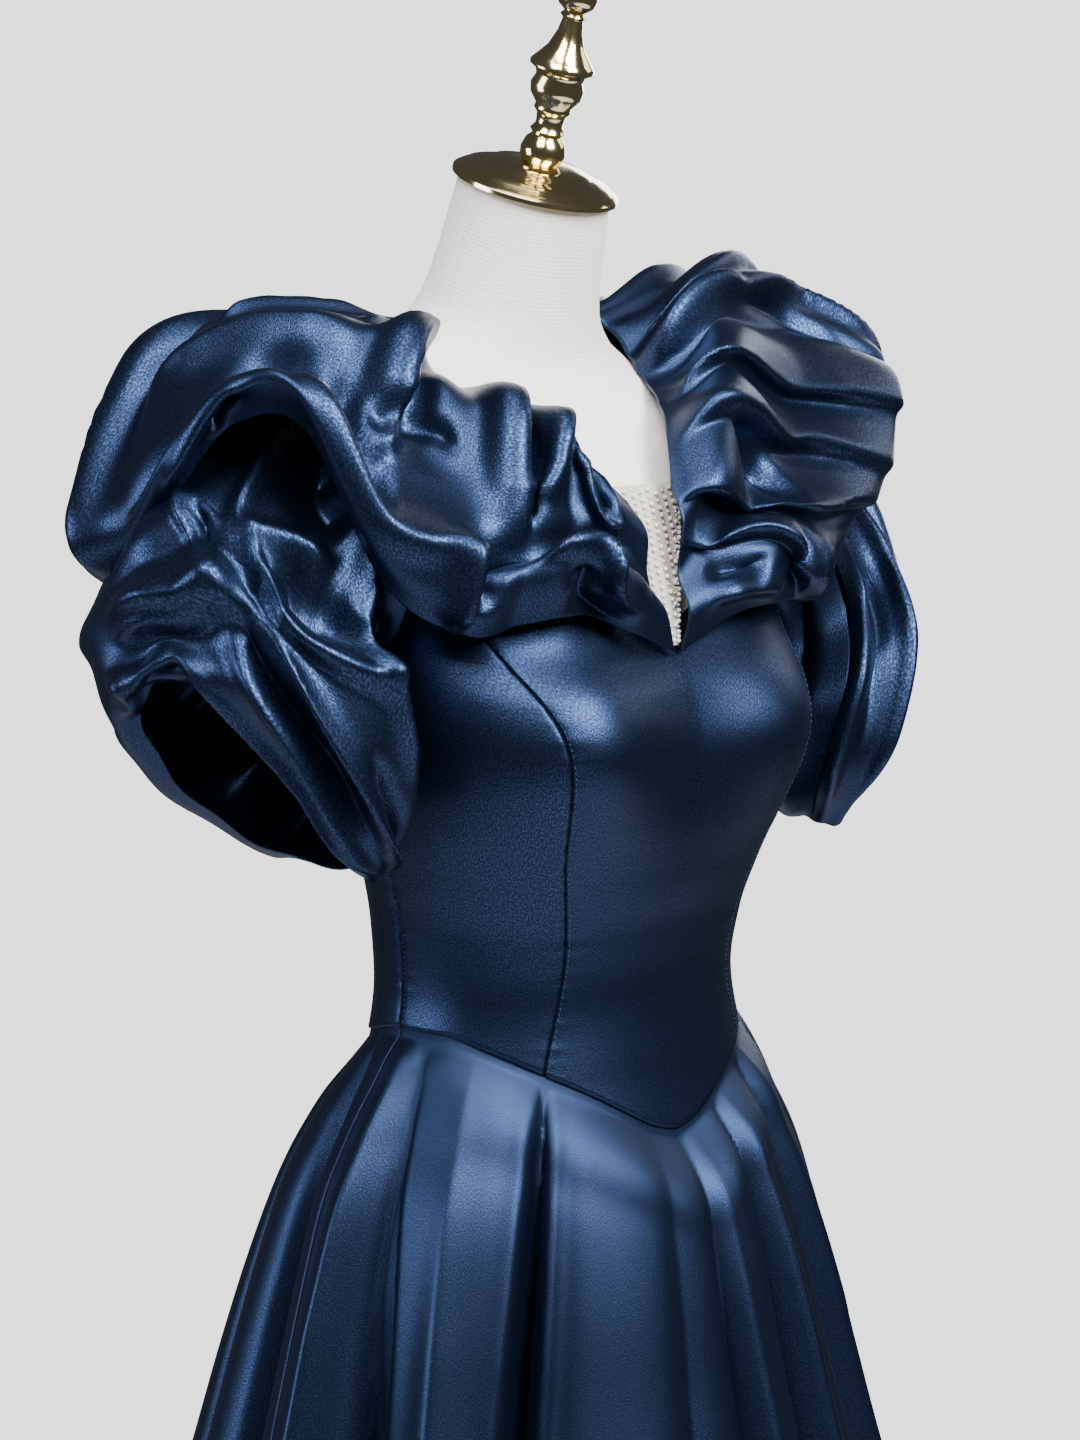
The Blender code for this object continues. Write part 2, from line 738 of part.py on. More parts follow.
SLEEVE = (
    SleeveRing(0.160, -0.024, 0.268, 5.0, 0.0, 0.0, 0.042, 0.056),
    SleeveRing(0.186, -0.023, 0.262, 20.0, 5.0, 0.0, 0.058, 0.050),
    SleeveRing(0.207, -0.022, 0.238, 45.0, 10.0, -6.0, 0.074, 0.062),
    SleeveRing(0.216, -0.016, 0.208, 50.0, 15.0, -18.0, 0.096, 0.076),
    SleeveRing(0.222, -0.010, 0.177, 45.0, 20.0, -30.0, 0.095, 0.074),
    SleeveRing(0.228, -0.004, 0.160, 35.0, 28.0, -38.0, 0.087, 0.060),
    SleeveRing(0.224, 0.000, 0.156, 25.0, 34.0, -43.0, 0.077, 0.044),
)
LEFT_SLEEVE_HANG = (0.010, 0.008, -0.012)
SLEEVE_ROWS, SLEEVE_COLUMNS = 11, 28
SLEEVE_GATHERS = 9
SLEEVE_GATHER_DEPTH = 0.004


def sleeve_point(along, around):
    """Points of the left sleeve's inner face.

    Args:
        along: From 0 at the armhole to 1 at the cuff.
        around: Turns round the tube, from its forward side over the top.
    """
    table = np.array(SLEEVE)
    rings = smooth(along, np.linspace(0, 1, len(SLEEVE)), table, overshoot=True)
    x, forward, up, pitch, yaw, roll, wide, tall = np.moveaxis(rings, -1, 0)
    pitch, yaw, roll = np.radians(pitch), np.radians(yaw), np.radians(roll)
    flat = np.stack([-np.sin(yaw), np.cos(yaw), 0 * yaw], axis=-1)
    raised = np.stack([np.sin(pitch) * np.cos(yaw), np.sin(pitch) * np.sin(yaw), np.cos(pitch)], axis=-1)
    broad = np.cos(roll)[..., None] * flat + np.sin(roll)[..., None] * raised
    high = np.cos(roll)[..., None] * raised - np.sin(roll)[..., None] * flat
    turn = 2 * np.pi * around
    gather = SLEEVE_GATHER_DEPTH * np.sin(SLEEVE_GATHERS * turn) * np.clip(along * 2, 0, 1)
    spot = np.stack([x, forward, up], axis=-1)
    spot = spot + ((wide + gather) * np.cos(turn))[..., None] * broad
    return spot + ((tall + gather) * np.sin(turn))[..., None] * high


def pushed_off(placed, tree):
    """World points, with those that meet the cover cloth in the tree moved to its inner side."""
    pushed = placed.reshape(-1, 3).copy()
    for i, point in enumerate(pushed):
        near, normal, _, distance = tree.find_nearest(Vector(point))
        away = Vector(point) - near
        height = away.dot(normal)
        if abs(height) > 0.8 * distance and -UNDER_COLLAR < height < UNDER_COLLAR * 5:
            pushed[i] = near - normal * UNDER_COLLAR
        elif distance < UNDER_COLLAR:
            pushed[i] = near + away.normalized() * UNDER_COLLAR
    return pushed.reshape(placed.shape)


def tucked_under(points, cover):
    """Points (x, forward, up), with those that meet a cover cloth moved to its inner side.

    Args:
        points: Points of the cloth that goes under.
        cover: The object of the cloth that lies over it, whose faces point away from the wearer.
    """
    mesh = cover.data
    tree = BVHTree.FromPolygons(
        [vertex.co for vertex in mesh.vertices], [polygon.vertices for polygon in mesh.polygons]
    )
    placed = world(points)
    start = placed.copy()
    for _ in range(TUCK_PASSES):
        shift = pushed_off(placed, tree) - start
        rows = np.concatenate([shift[:1], shift, shift[-1:]])
        beside = (np.roll(shift, 1, axis=1) + np.roll(shift, -1, axis=1) + rows[:-2] + rows[2:]) / 4
        placed = start + (shift + beside) / 2
    placed = pushed_off(placed, tree)
    return np.stack([placed[..., 0], -placed[..., 1], placed[..., 2] - WAIST_HEIGHT], axis=-1)


def build_sleeves(finish, collar_left, collar_right):
    """The balloon sleeve on each side, from the armhole to the open cuff, under its collar."""
    along, around = np.meshgrid(
        np.linspace(0, 1, SLEEVE_ROWS), np.arange(SLEEVE_COLUMNS) / SLEEVE_COLUMNS, indexing="ij"
    )
    right = kept_clear(sleeve_point(along, around), np.full(along.shape, CLEAR_OF_BODICE))
    left = sleeve_point(along, around) + np.clip(along * 3, 0, 1)[..., None] * LEFT_SLEEVE_HANG
    left = kept_clear(left, np.full(along.shape, CLEAR_OF_BODICE))
    right[0] = left[0] = landed(right[0], ON_BODICE)
    left = tucked_under(left, collar_left)
    right = tucked_under(right * (-1, 1, 1), collar_right)
    cloth("sleeve_left", left, finish, SATIN_WALL, around=True)
    cloth("sleeve_right", right, finish, SATIN_WALL, around=True, flip=True)


class SkirtRing(NamedTuple):
    """How far the skirt stands out at one level, in front and behind."""

    up: float
    front: float
    back: float
    side: float


SKIRT = (
    SkirtRing(up=-0.030, front=0.100, back=0.094, side=0.122),
    SkirtRing(up=-0.060, front=0.112, back=0.120, side=0.146),
    SkirtRing(up=-0.100, front=0.128, back=0.144, side=0.166),
    SkirtRing(up=-0.150, front=0.142, back=0.166, side=0.180),
    SkirtRing(up=-0.215, front=0.156, back=0.188, side=0.196),
    SkirtRing(up=-0.280, front=0.172, back=0.206, side=0.212),
    SkirtRing(up=-0.600, front=0.272, back=0.292, side=0.300),
    SkirtRing(up=-1.048, front=0.408, back=0.408, side=0.412),
)


class SkirtFold(NamedTuple):
    """One fold of the skirt: a ridge, or a groove where its depth is below zero."""

    waist_angle: float
    hem_angle: float
    half_angle: float
    depth: float


SKIRT_FOLDS = (
    SkirtFold(waist_angle=-180.0, hem_angle=-180.0, half_angle=9.0, depth=0.020),
    SkirtFold(waist_angle=-156.0, hem_angle=-157.0, half_angle=8.0, depth=0.020),
    SkirtFold(waist_angle=-134.0, hem_angle=-135.0, half_angle=8.0, depth=0.018),
    SkirtFold(waist_angle=-112.0, hem_angle=-114.0, half_angle=8.0, depth=0.020),
    SkirtFold(waist_angle=-92.0, hem_angle=-90.0, half_angle=7.0, depth=0.024),
    SkirtFold(waist_angle=-77.0, hem_angle=-73.0, half_angle=6.0, depth=-0.024),
    SkirtFold(waist_angle=-55.0, hem_angle=-59.0, half_angle=8.0, depth=0.018),
    SkirtFold(waist_angle=-39.5, hem_angle=-47.0, half_angle=5.0, depth=-0.034),
    SkirtFold(waist_angle=-22.0, hem_angle=-26.0, half_angle=13.0, depth=0.014),
    SkirtFold(waist_angle=3.0, hem_angle=2.0, half_angle=5.0, depth=-0.014),
    SkirtFold(waist_angle=11.0, hem_angle=12.0, half_angle=5.0, depth=0.014),
    SkirtFold(waist_angle=20.0, hem_angle=21.0, half_angle=5.0, depth=-0.016),
    SkirtFold(waist_angle=30.0, hem_angle=31.0, half_angle=5.5, depth=0.018),
    SkirtFold(waist_angle=39.5, hem_angle=41.0, half_angle=5.0, depth=-0.026),
    SkirtFold(waist_angle=49.0, hem_angle=51.0, half_angle=6.0, depth=0.016),
    SkirtFold(waist_angle=70.0, hem_angle=71.0, half_angle=8.0, depth=0.018),
    SkirtFold(waist_angle=92.0, hem_angle=92.0, half_angle=7.0, depth=0.022),
    SkirtFold(waist_angle=112.0, hem_angle=114.0, half_angle=8.0, depth=0.020),
    SkirtFold(waist_angle=134.0, hem_angle=135.0, half_angle=8.0, depth=0.018),
    SkirtFold(waist_angle=156.0, hem_angle=157.0, half_angle=8.0, depth=0.020),
    SkirtFold(waist_angle=180.0, hem_angle=180.0, half_angle=9.0, depth=0.020),
)
FOLD_GROWTH = 0.45
WAIST_DROP = 0.005
HEM_UP = HEM_CLEARANCE - WAIST_HEIGHT
SKIRT_ROWS = 11
SKIRT_SIDE_SEAM = 94.0
SKIRT_PANELS = (
    ("skirt_front", -SKIRT_SIDE_SEAM, SKIRT_SIDE_SEAM, 54),
    ("skirt_back_left", SKIRT_SIDE_SEAM, 180.0, 16),
    ("skirt_back_right", -180.0, -SKIRT_SIDE_SEAM, 16),
)


def skirt_point(angle, fall):
    """Points of the skirt's inner face.

    Args:
        angle: Degrees from the centre front.
        fall: From 0 at the waist seam to 1 at the hem.
    """
    waist, _ = edge_levels(angle)
    waist = waist - SEAM_GAP * 2.5
    top = moved_out(figure_point(angle, waist), np.full(np.shape(angle), BODICE_GAP))
    first = 1 / (SKIRT_ROWS - 1)
    up = waist - WAIST_DROP * np.clip(fall / first, 0, 1)
    up = up + (HEM_UP - up) * np.clip((fall - first) / (1 - first), 0, 1) ** 1.4
    table = np.array(SKIRT)
    front, back, side = np.moveaxis(smooth(-up, -table[:, 0], table[:, 1:]), -1, 0)
    cosine, sine = np.cos(np.radians(angle)), np.sin(np.radians(angle))
    depth = np.where(cosine > 0, front, back)
    radius = 1 / np.sqrt((cosine / depth) ** 2 + (sine / side) ** 2)
    top_radius = np.hypot(top[..., 0], top[..., 1])
    top_angle = np.degrees(np.arctan2(top[..., 0], top[..., 1]))
    below = np.clip(waist - up - WAIST_DROP, 0, None)
    blend = np.clip(below / 0.06, 0, 1)
    blend = blend * blend * (3 - 2 * blend)
    radius = (top_radius + below * 0.8) * (1 - blend) + np.maximum(radius, top_radius) * blend
    bearing = top_angle * (1 - blend) + angle * blend
    grown = np.clip(below / FOLD_GROWTH, 0, 1) ** 0.7
    drift = np.clip(below / FOLD_GROWTH, 0, 1)
    for fold in SKIRT_FOLDS:
        centre = fold.waist_angle + (fold.hem_angle - fold.waist_angle) * drift
        radius = radius + fold.depth * grown * np.exp(-(((bearing - centre) / fold.half_angle) ** 2))
    bearing = np.radians(bearing)
    return np.stack([radius * np.sin(bearing), radius * np.cos(bearing), up], axis=-1)


def build_skirt(finish):
    """The skirt front and the two skirt backs, hanging from the waist seam to the hem."""
    for name, start, end, columns in SKIRT_PANELS:
        fall, across = np.meshgrid(
            np.linspace(0, 1, SKIRT_ROWS), np.linspace(0, 1, columns + 1), indexing="ij"
        )
        angle = start + (end - start) * across
        points = skirt_point(angle, fall)
        inset = SEAM_GAP / 2
        for column, way in ((0, 1), (-1, -1)):
            tangent = points[:, column + way] - points[:, column]
            points[:, column] += inset * tangent / np.linalg.norm(tangent, axis=-1, keepdims=True)
        cloth(name, points, finish, SATIN_WALL, flip=True)


FORM_BOTTOM = -0.240
FORM_TOP = 0.476
FORM_LEVELS = (
    -0.240, -0.180, -0.120, -0.060, -0.010, 0.030, 0.070, 0.105, 0.135, 0.160, 0.185, 0.210, 0.240, 0.272,
    0.304, 0.335, 0.352, 0.365, 0.378, 0.392, 0.412, 0.444, 0.476,
)
FORM_COLUMNS = 28


def build_form(finish):
    """The padded torso, closed at the hip and at the top of the neck."""
    level, angle = np.meshgrid(FORM_LEVELS, np.arange(FORM_COLUMNS) * 360 / FORM_COLUMNS, indexing="ij")
    points = figure_point(angle, level)
    points = moved_out(points, -FORM_INSET - CUP_INSET * cup_depth(points[..., 0], points[..., 2]))
    points[0, :, 2] = FORM_BOTTOM
    mesh = sheet_mesh("form_torso", world(points[:, ::-1]), around=True)
    build = bmesh.new()
    build.from_mesh(mesh)
    bmesh.ops.holes_fill(build, edges=[edge for edge in build.edges if edge.is_boundary], sides=0)
    bmesh.ops.recalc_face_normals(build, faces=build.faces)
    build.to_mesh(mesh)
    build.free()
    finished("form_torso", mesh, finish)


CAP_RADIUS = 0.0495
CAP_HEIGHT = 0.0135
CAP_PROFILE = (
    (0.0, 0.0),
    (CAP_RADIUS, 0.0),
    (CAP_RADIUS, 0.0025),
    (0.0465, 0.0046),
    (0.0450, 0.0050),
    (0.0430, 0.0068),
    (0.0325, 0.0100),
    (0.0310, 0.0103),
    (0.0290, 0.0118),
    (0.0190, CAP_HEIGHT),
    (0.0, CAP_HEIGHT),
)
FINIAL_PROFILE = (
    (0.0, 0.0138),
    (0.0105, 0.0138),
    (0.0132, 0.0180),
    (0.0136, 0.0220),
    (0.0118, 0.0275),
    (0.0085, 0.0310),
    (0.0105, 0.0335),
    (0.0080, 0.0370),
    (0.0085, 0.0430),
    (0.0110, 0.0460),
    (0.0105, 0.0485),
    (0.0150, 0.0545),
    (0.0160, 0.0600),
    (0.0140, 0.0650),
    (0.0150, 0.0685),
    (0.0190, 0.0710),
    (0.0190, 0.0730),
    (0.0165, 0.0760),
    (0.0110, 0.0830),
    (0.0075, 0.0920),
    (0.0060, 0.1000),
    (0.0080, 0.1020),
    (0.0060, 0.1045),
    (0.0105, 0.1080),
    (0.0120, 0.1130),
    (0.0105, 0.1180),
    (0.0060, 0.1215),
    (0.0040, 0.1250),
    (0.0, 0.1300),
)
POLE_RADIUS = 0.0125
FOOT_RADIUS = 0.170
FOOT_THICKNESS = 0.014
PIECE_GAP = 0.0003


def build_stand(gold):
    """The neck cap and finial on the neck's tilted axis, and the pole and foot under the form."""
    neck = FIGURE[-1]
    ahead = PIECE_GAP * 2 * math.sin(math.radians(neck.lean))
    place = world([0.0, neck.forward + ahead, FORM_TOP + PIECE_GAP * 2])
    turned("neck_cap", CAP_PROFILE, gold, 32, place, neck.lean)
    turned("finial", FINIAL_PROFILE, gold, 16, place, neck.lean)
    pole_top = WAIST_HEIGHT + FORM_BOTTOM - PIECE_GAP
    pole_bottom = FOOT_THICKNESS + PIECE_GAP
    pole = ((0.0, pole_bottom), (POLE_RADIUS, pole_bottom), (POLE_RADIUS, pole_top), (0.0, pole_top))
    turned("pole", pole, gold, 20)
    foot = (
        (0.0, 0.0),
        (FOOT_RADIUS, 0.0),
        (FOOT_RADIUS, FOOT_THICKNESS * 0.6),
        (FOOT_RADIUS * 0.97, FOOT_THICKNESS),
        (0.0, FOOT_THICKNESS),
    )
    turned("foot", foot, gold, 40)


def main():
    """Clear the scene and build every piece."""
    for old in list(bpy.data.objects):
        bpy.data.objects.remove(old)
    satin = material("duchess satin", (0.016, 0.036, 0.092), 0.36)
    net = material("beaded net", (0.78, 0.74, 0.66), 0.45)
    linen = material("linen", (0.80, 0.76, 0.69), 0.85)
    gold = material("polished gold", (0.95, 0.70, 0.25), 0.12, 1.0)
    build_form(linen)
    build_stand(gold)
    build_bodice(satin)
    build_insert(net)
    build_sleeves(satin, *build_collars(satin))
    build_skirt(satin)


main()
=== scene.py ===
"""Dressed scene of a satin prom dress on a limbless dress form.

Tables give places as x, forward and up: x towards the wearer's left, forward from the pole towards the
front of the dress, and up from the natural waist. A draped piece is shaped from its flat cut: each vertex
of a flat grid has a share of the cut's width and length, and the piece's class says where that share hangs.
Creases are placed on top, in shares of the cut. The model has +Z up, faces -Y and stands on z = 0.
Lengths are metres, apart from the rows that say millimetres, and angles are degrees.
"""

from __future__ import annotations

import logging
import math
from dataclasses import dataclass
from enum import Enum
from functools import partial
from typing import Any, Callable, NamedTuple, Optional, Sequence

import bmesh
import bpy
import numpy as np
from mathutils import Matrix, Vector

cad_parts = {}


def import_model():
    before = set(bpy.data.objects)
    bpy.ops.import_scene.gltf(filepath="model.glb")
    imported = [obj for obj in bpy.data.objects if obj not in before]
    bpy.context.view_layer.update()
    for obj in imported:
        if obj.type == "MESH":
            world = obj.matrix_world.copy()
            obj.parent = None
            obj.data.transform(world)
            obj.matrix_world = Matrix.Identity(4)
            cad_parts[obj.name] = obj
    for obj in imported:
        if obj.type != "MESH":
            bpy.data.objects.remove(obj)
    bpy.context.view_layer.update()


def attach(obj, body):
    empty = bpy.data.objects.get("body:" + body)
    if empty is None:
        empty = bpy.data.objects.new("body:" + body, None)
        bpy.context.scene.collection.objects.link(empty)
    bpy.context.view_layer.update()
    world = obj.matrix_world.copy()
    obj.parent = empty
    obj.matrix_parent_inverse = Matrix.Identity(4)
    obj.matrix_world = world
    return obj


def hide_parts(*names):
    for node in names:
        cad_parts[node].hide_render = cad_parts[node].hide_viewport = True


LOG = logging.getLogger("prom_dress")

WAIST_HEIGHT = 1.06
HEM_CLEARANCE = 0.012
BODICE_GAP = 0.0004
BODICE_WALL = 0.002
SEAM_GAP = 0.0004
CLEAR_OF_BODICE = 0.0040
CLEAR_OF_FORM = -0.0014
ON_BODICE = BODICE_GAP + BODICE_WALL + SEAM_GAP * 2

Array = np.ndarray
Place = Callable[[Array, Array], Array]
Spot = tuple[float, float, float]
Profile = tuple[tuple[float, float], ...]
Piece = bpy.types.Object
Material = bpy.types.Material
Tree = bpy.types.NodeTree
Build = bmesh.types.BMesh


class Side(Enum):
    """A side of the wearer, with the sign of x there."""

    LEFT = 1
    RIGHT = -1

    @property
    def word(self) -> str:
        """The side as it stands in a node's name."""
        return self.name.lower()


class Slot(Enum):
    """The record's material slots."""

    SATIN = "satin"
    BEADED_NET = "beaded_net"
    LINEN = "linen"
    POLISHED_GOLD = "polished_gold"


# Colours and nodes


def linear(hex_colour: str) -> tuple[float, float, float, float]:
    """Turn an sRGB hex colour into linear light.

    Args:
        hex_colour: Six hex digits after a number sign.

    Returns:
        Linear red, green and blue, with an alpha of 1.
    """
    shares = [int(hex_colour[i : i + 2], 16) / 255 for i in (1, 3, 5)]
    light = [s / 12.92 if s <= 0.04045 else ((s + 0.055) / 1.055) ** 2.4 for s in shares]
    return (light[0], light[1], light[2], 1.0)


def feed(tree: Tree, socket: bpy.types.NodeSocket, value: Any) -> None:
    """Link a socket, or set its constant.

    Args:
        tree: The node tree.
        socket: The input.
        value: A constant, an output to link, or a node whose first output is linked.
    """
    if isinstance(value, bpy.types.Node):
        value = value.outputs[0]
    if isinstance(value, bpy.types.NodeSocket):
        tree.links.new(value, socket)
    else:
        socket.default_value = value


def add_node(
    tree: Tree, kind: str, inputs: Optional[dict[Any, Any]] = None, **settings: Any
) -> bpy.types.Node:
    """Add a node, with its settings, constants and links.

    Args:
        tree: The material's or world's node tree.
        kind: The node's type name.
        inputs: What feeds each input, by its name or number.
        settings: Attributes of the node itself.

    Returns:
        The new node.
    """
    node = tree.nodes.new(kind)
    for name, value in settings.items():
        setattr(node, name, value)
    for name, value in (inputs or {}).items():
        feed(tree, node.inputs[name], value)
    return node


def per_mm(size: float) -> float:
    """Repeats for each metre of a pattern whose size is given in millimetres."""
    return 1000.0 / size


# Finishes


@dataclass(frozen=True)
class Finish:
    """A finish on a Principled shader, whose inputs are fed by the finish's own sockets method."""

    name: str

    @property
    def bump(self) -> dict[str, float]:
        """The strength and the depth in metres of the finish's relief."""
        return {"Strength": 0.5, "Distance": 0.0003}

    def sockets(self, tree: Tree) -> dict[str, Any]:
        """Lay out the finish.

        Args:
            tree: The material's node tree.

        Returns:
            What feeds the shader's inputs, by their names.
        """
        raise NotImplementedError

    def build(self) -> Material:
        """Build the material.

        Returns:
            The material.
        """
        made = bpy.data.materials.new(self.name)
        made.use_nodes = True
        shader = made.node_tree.nodes["Principled BSDF"]
        for name, value in self.sockets(made.node_tree).items():
            feed(made.node_tree, shader.inputs[name], value)
        return made


@dataclass(frozen=True)
class DuchessSatin(Finish):
    """Duchess satin, woven from filament yarn with long floats.

    The floats lie side by side, so light comes back in a broad band tinted by the dye, and what faces away
    goes nearly black. The float is 0.3 mm wide, too fine to show, so the grain is drawn at four times that,
    and its paler spots are a painted glint.
    """

    name: str = "duchess_satin"
    dye: str = "#15223b"
    # painted glint: a paler blue mixed into the dye in spots of the grain, standing in for the sparkle of
    # light off the floats
    painted_glint: str = "#566a90"
    painted_glint_share: float = 0.4
    sheen_tint: str = "#5f78ab"
    sheen: float = 0.01
    roughness: float = 0.37
    unevenness: float = 0.05
    metallic: float = 0.94
    grain_mm: float = 1.3
    slub_mm: tuple[float, float] = (0.8, 7.0)
    slub_height: float = 0.15

    def sockets(self, tree: Tree) -> dict[str, Any]:
        """The dye under a grain of floats, with slubs across them, and a painted glint: the dye lightened
        towards a paler blue in spots of the grain.

        Args:
            tree: The material's node tree.

        Returns:
            What feeds the shader's inputs, by their names.
        """
        cut = add_node(tree, "ShaderNodeUVMap", uv_map="cut")
        size = {"Vector": cut, "Scale": per_mm(self.grain_mm), "Detail": 2.0, "Roughness": 0.6}
        grain = add_node(tree, "ShaderNodeTexNoise", size, noise_dimensions="2D")
        stretch = (per_mm(self.slub_mm[0]), per_mm(self.slub_mm[1]), 1.0)
        across = add_node(tree, "ShaderNodeMapping", {"Vector": cut, "Scale": stretch})
        size = {"Vector": across, "Scale": 1.0, "Detail": 1.0}
        slub = add_node(tree, "ShaderNodeTexNoise", size, noise_dimensions="2D")
        least, most = self.roughness - self.unevenness, self.roughness + self.unevenness
        ends = {"From Min": 0.3, "From Max": 0.7, "To Min": most, "To Max": least}
        gloss = add_node(tree, "ShaderNodeMapRange", {"Value": grain, **ends})
        # painted glint mask: the brighter spots of the grain take up to the glint share of the paler blue
        ends = {"From Min": 0.42, "From Max": 0.78, "To Min": 0.0, "To Max": self.painted_glint_share}
        painted_glint_mask = add_node(tree, "ShaderNodeMapRange", {"Value": grain, **ends})
        colours = {0: painted_glint_mask, 6: linear(self.dye), 7: linear(self.painted_glint)}
        parts = {0: slub, 1: self.slub_height, 2: grain}
        height = add_node(tree, "ShaderNodeMath", parts, operation="MULTIPLY_ADD")
        return {
            "Base Color": add_node(tree, "ShaderNodeMix", colours, data_type="RGBA").outputs[2],
            "Roughness": gloss,
            "Normal": add_node(tree, "ShaderNodeBump", {"Height": height, **self.bump}),
            "Metallic": self.metallic,
            "Sheen Weight": self.sheen,
            "Sheen Roughness": 0.5,
            "Sheen Tint": linear(self.sheen_tint),
        }


@dataclass(frozen=True)
class BeadedNet(Finish):
    """Fine nylon net laid over ivory cloth, dull, with a hexagonal mesh of about 1.2 mm."""

    name: str = "ivory_net"
    thread: str = "#d8d2c6"
    ground: str = "#b9b2a6"
    mesh_mm: float = 1.2
    roughness: float = 0.7

    def sockets(self, tree: Tree) -> dict[str, Any]:
        """The mesh's threads, raised over the ground.

        Args:
            tree: The material's node tree.

        Returns:
            What feeds the shader's inputs, by their names.
        """
        cut = add_node(tree, "ShaderNodeUVMap", uv_map="cut")
        size = {"Vector": cut, "Scale": per_mm(self.mesh_mm), "Randomness": 0.35}
        kind = {"feature": "DISTANCE_TO_EDGE", "voronoi_dimensions": "2D"}
        mesh = add_node(tree, "ShaderNodeTexVoronoi", size, **kind)
        ends = {"From Min": 0.05, "From Max": 0.16, "To Min": 1.0, "To Max": 0.0}
        thread = add_node(tree, "ShaderNodeMapRange", {"Value": mesh, **ends})
        colours = {0: thread, 6: linear(self.ground), 7: linear(self.thread)}
        return {
            "Base Color": add_node(tree, "ShaderNodeMix", colours, data_type="RGBA").outputs[2],
            "Normal": add_node(tree, "ShaderNodeBump", {"Height": thread, **self.bump}),
            "Roughness": self.roughness,
        }


@dataclass(frozen=True)
class Mottled(Finish):
    """A finish of two close colours in soft patches, with one gloss all over."""

    light: str
    dark: str
    roughness: float
    patch_mm: float
    detail: float = 0.0

    def sockets(self, tree: Tree) -> dict[str, Any]:
        """The two colours, mixed in patches.

        Args:
            tree: The material's node tree.

        Returns:
            What feeds the shader's inputs, by their names.
        """
        place = add_node(tree, "ShaderNodeTexCoord").outputs["Object"]
        size = {"Vector": place, "Scale": per_mm(self.patch_mm), "Detail": self.detail}
        patch = add_node(tree, "ShaderNodeTexNoise", size)
        colours = {0: patch, 6: linear(self.light), 7: linear(self.dark)}
        return {
            "Base Color": add_node(tree, "ShaderNodeMix", colours, data_type="RGBA").outputs[2],
            "Roughness": self.roughness,
        }


@dataclass(frozen=True)
class BeadGlass(Mottled):
    """A bead finish, such as a pearl's layered lustre or cut glass with a foiled back.

    The gloss is high and the colour shifts a little from bead to bead, as strung beads do.
    """

    patch_mm: float = 3.0
    metallic: float = 0.0
    coat: float = 0.0
    coat_roughness: float = 0.05

    def sockets(self, tree: Tree) -> dict[str, Any]:
        """The bead's colours, under its clear outer layer.

        Args:
            tree: The material's node tree.

        Returns:
            What feeds the shader's inputs, by their names.
        """
        return {
            **super().sockets(tree),
            "Metallic": self.metallic,
            "Coat Weight": self.coat,
            "Coat Roughness": self.coat_roughness,
        }


@dataclass(frozen=True)
class LinenCover(Finish):
    """Plain-woven linen, washed and stretched over padding: matt, off-white, with thick slubs each way.

    Its threads are 0.5 mm apart, drawn at 1.1 mm so that they show.
    """

    name: str = "washed_linen"
    light: str = "#f4f1ea"
    dark: str = "#e2dcd1"
    thread_mm: float = 1.1
    slub_mm: float = 26.0
    slub_height: float = 3.0
    roughness: float = 0.88
    fuzz: float = 0.25

    @property
    def bump(self) -> dict[str, float]:
        """The weave's relief."""
        return {"Strength": 0.35, "Distance": 0.0003}

    def sockets(self, tree: Tree) -> dict[str, Any]:
        """The weave, with slubs along the warp and the weft.

        Args:
            tree: The material's node tree.

        Returns:
            What feeds the shader's inputs, by their names.
        """
        cut = add_node(tree, "ShaderNodeUVMap", uv_map="cut")
        fine, long = per_mm(self.thread_mm), per_mm(self.slub_mm)
        size = {"Vector": cut, "Scale": fine / 6.2832, "Distortion": 1.2, "Detail": 1.0, "Detail Scale": 3.0}
        warp, weft = (
            add_node(tree, "ShaderNodeTexWave", size, wave_type="BANDS", bands_direction=way).outputs[1]
            for way in ("X", "Y")
        )
        slubs = []
        for stretch in ((fine, long, 1.0), (long, fine, 1.0)):
            drawn = add_node(tree, "ShaderNodeMapping", {"Vector": cut, "Scale": stretch})
            size = {"Vector": drawn, "Scale": 1.0, "Detail": 1.0}
            slubs.append(add_node(tree, "ShaderNodeTexNoise", size, noise_dimensions="2D"))
        weave = add_node(tree, "ShaderNodeMath", {0: warp, 1: weft}, operation="ADD")
        streaks = add_node(tree, "ShaderNodeMath", {0: slubs[0], 1: slubs[1]}, operation="MAXIMUM")
        parts = {0: streaks, 1: self.slub_height, 2: weave}
        height = add_node(tree, "ShaderNodeMath", parts, operation="MULTIPLY_ADD")
        ends = {"From Min": 0.42, "From Max": 0.72, "To Min": 0.15, "To Max": 0.75}
        tone = add_node(tree, "ShaderNodeMapRange", {"Value": streaks, **ends})
        colours = {0: tone, 6: linear(self.light), 7: linear(self.dark)}
        return {
            "Base Color": add_node(tree, "ShaderNodeMix", colours, data_type="RGBA").outputs[2],
            "Normal": add_node(tree, "ShaderNodeBump", {"Height": height, **self.bump}),
            "Roughness": self.roughness,
            "Sheen Weight": self.fuzz,
            "Sheen Roughness": 0.6,
        }


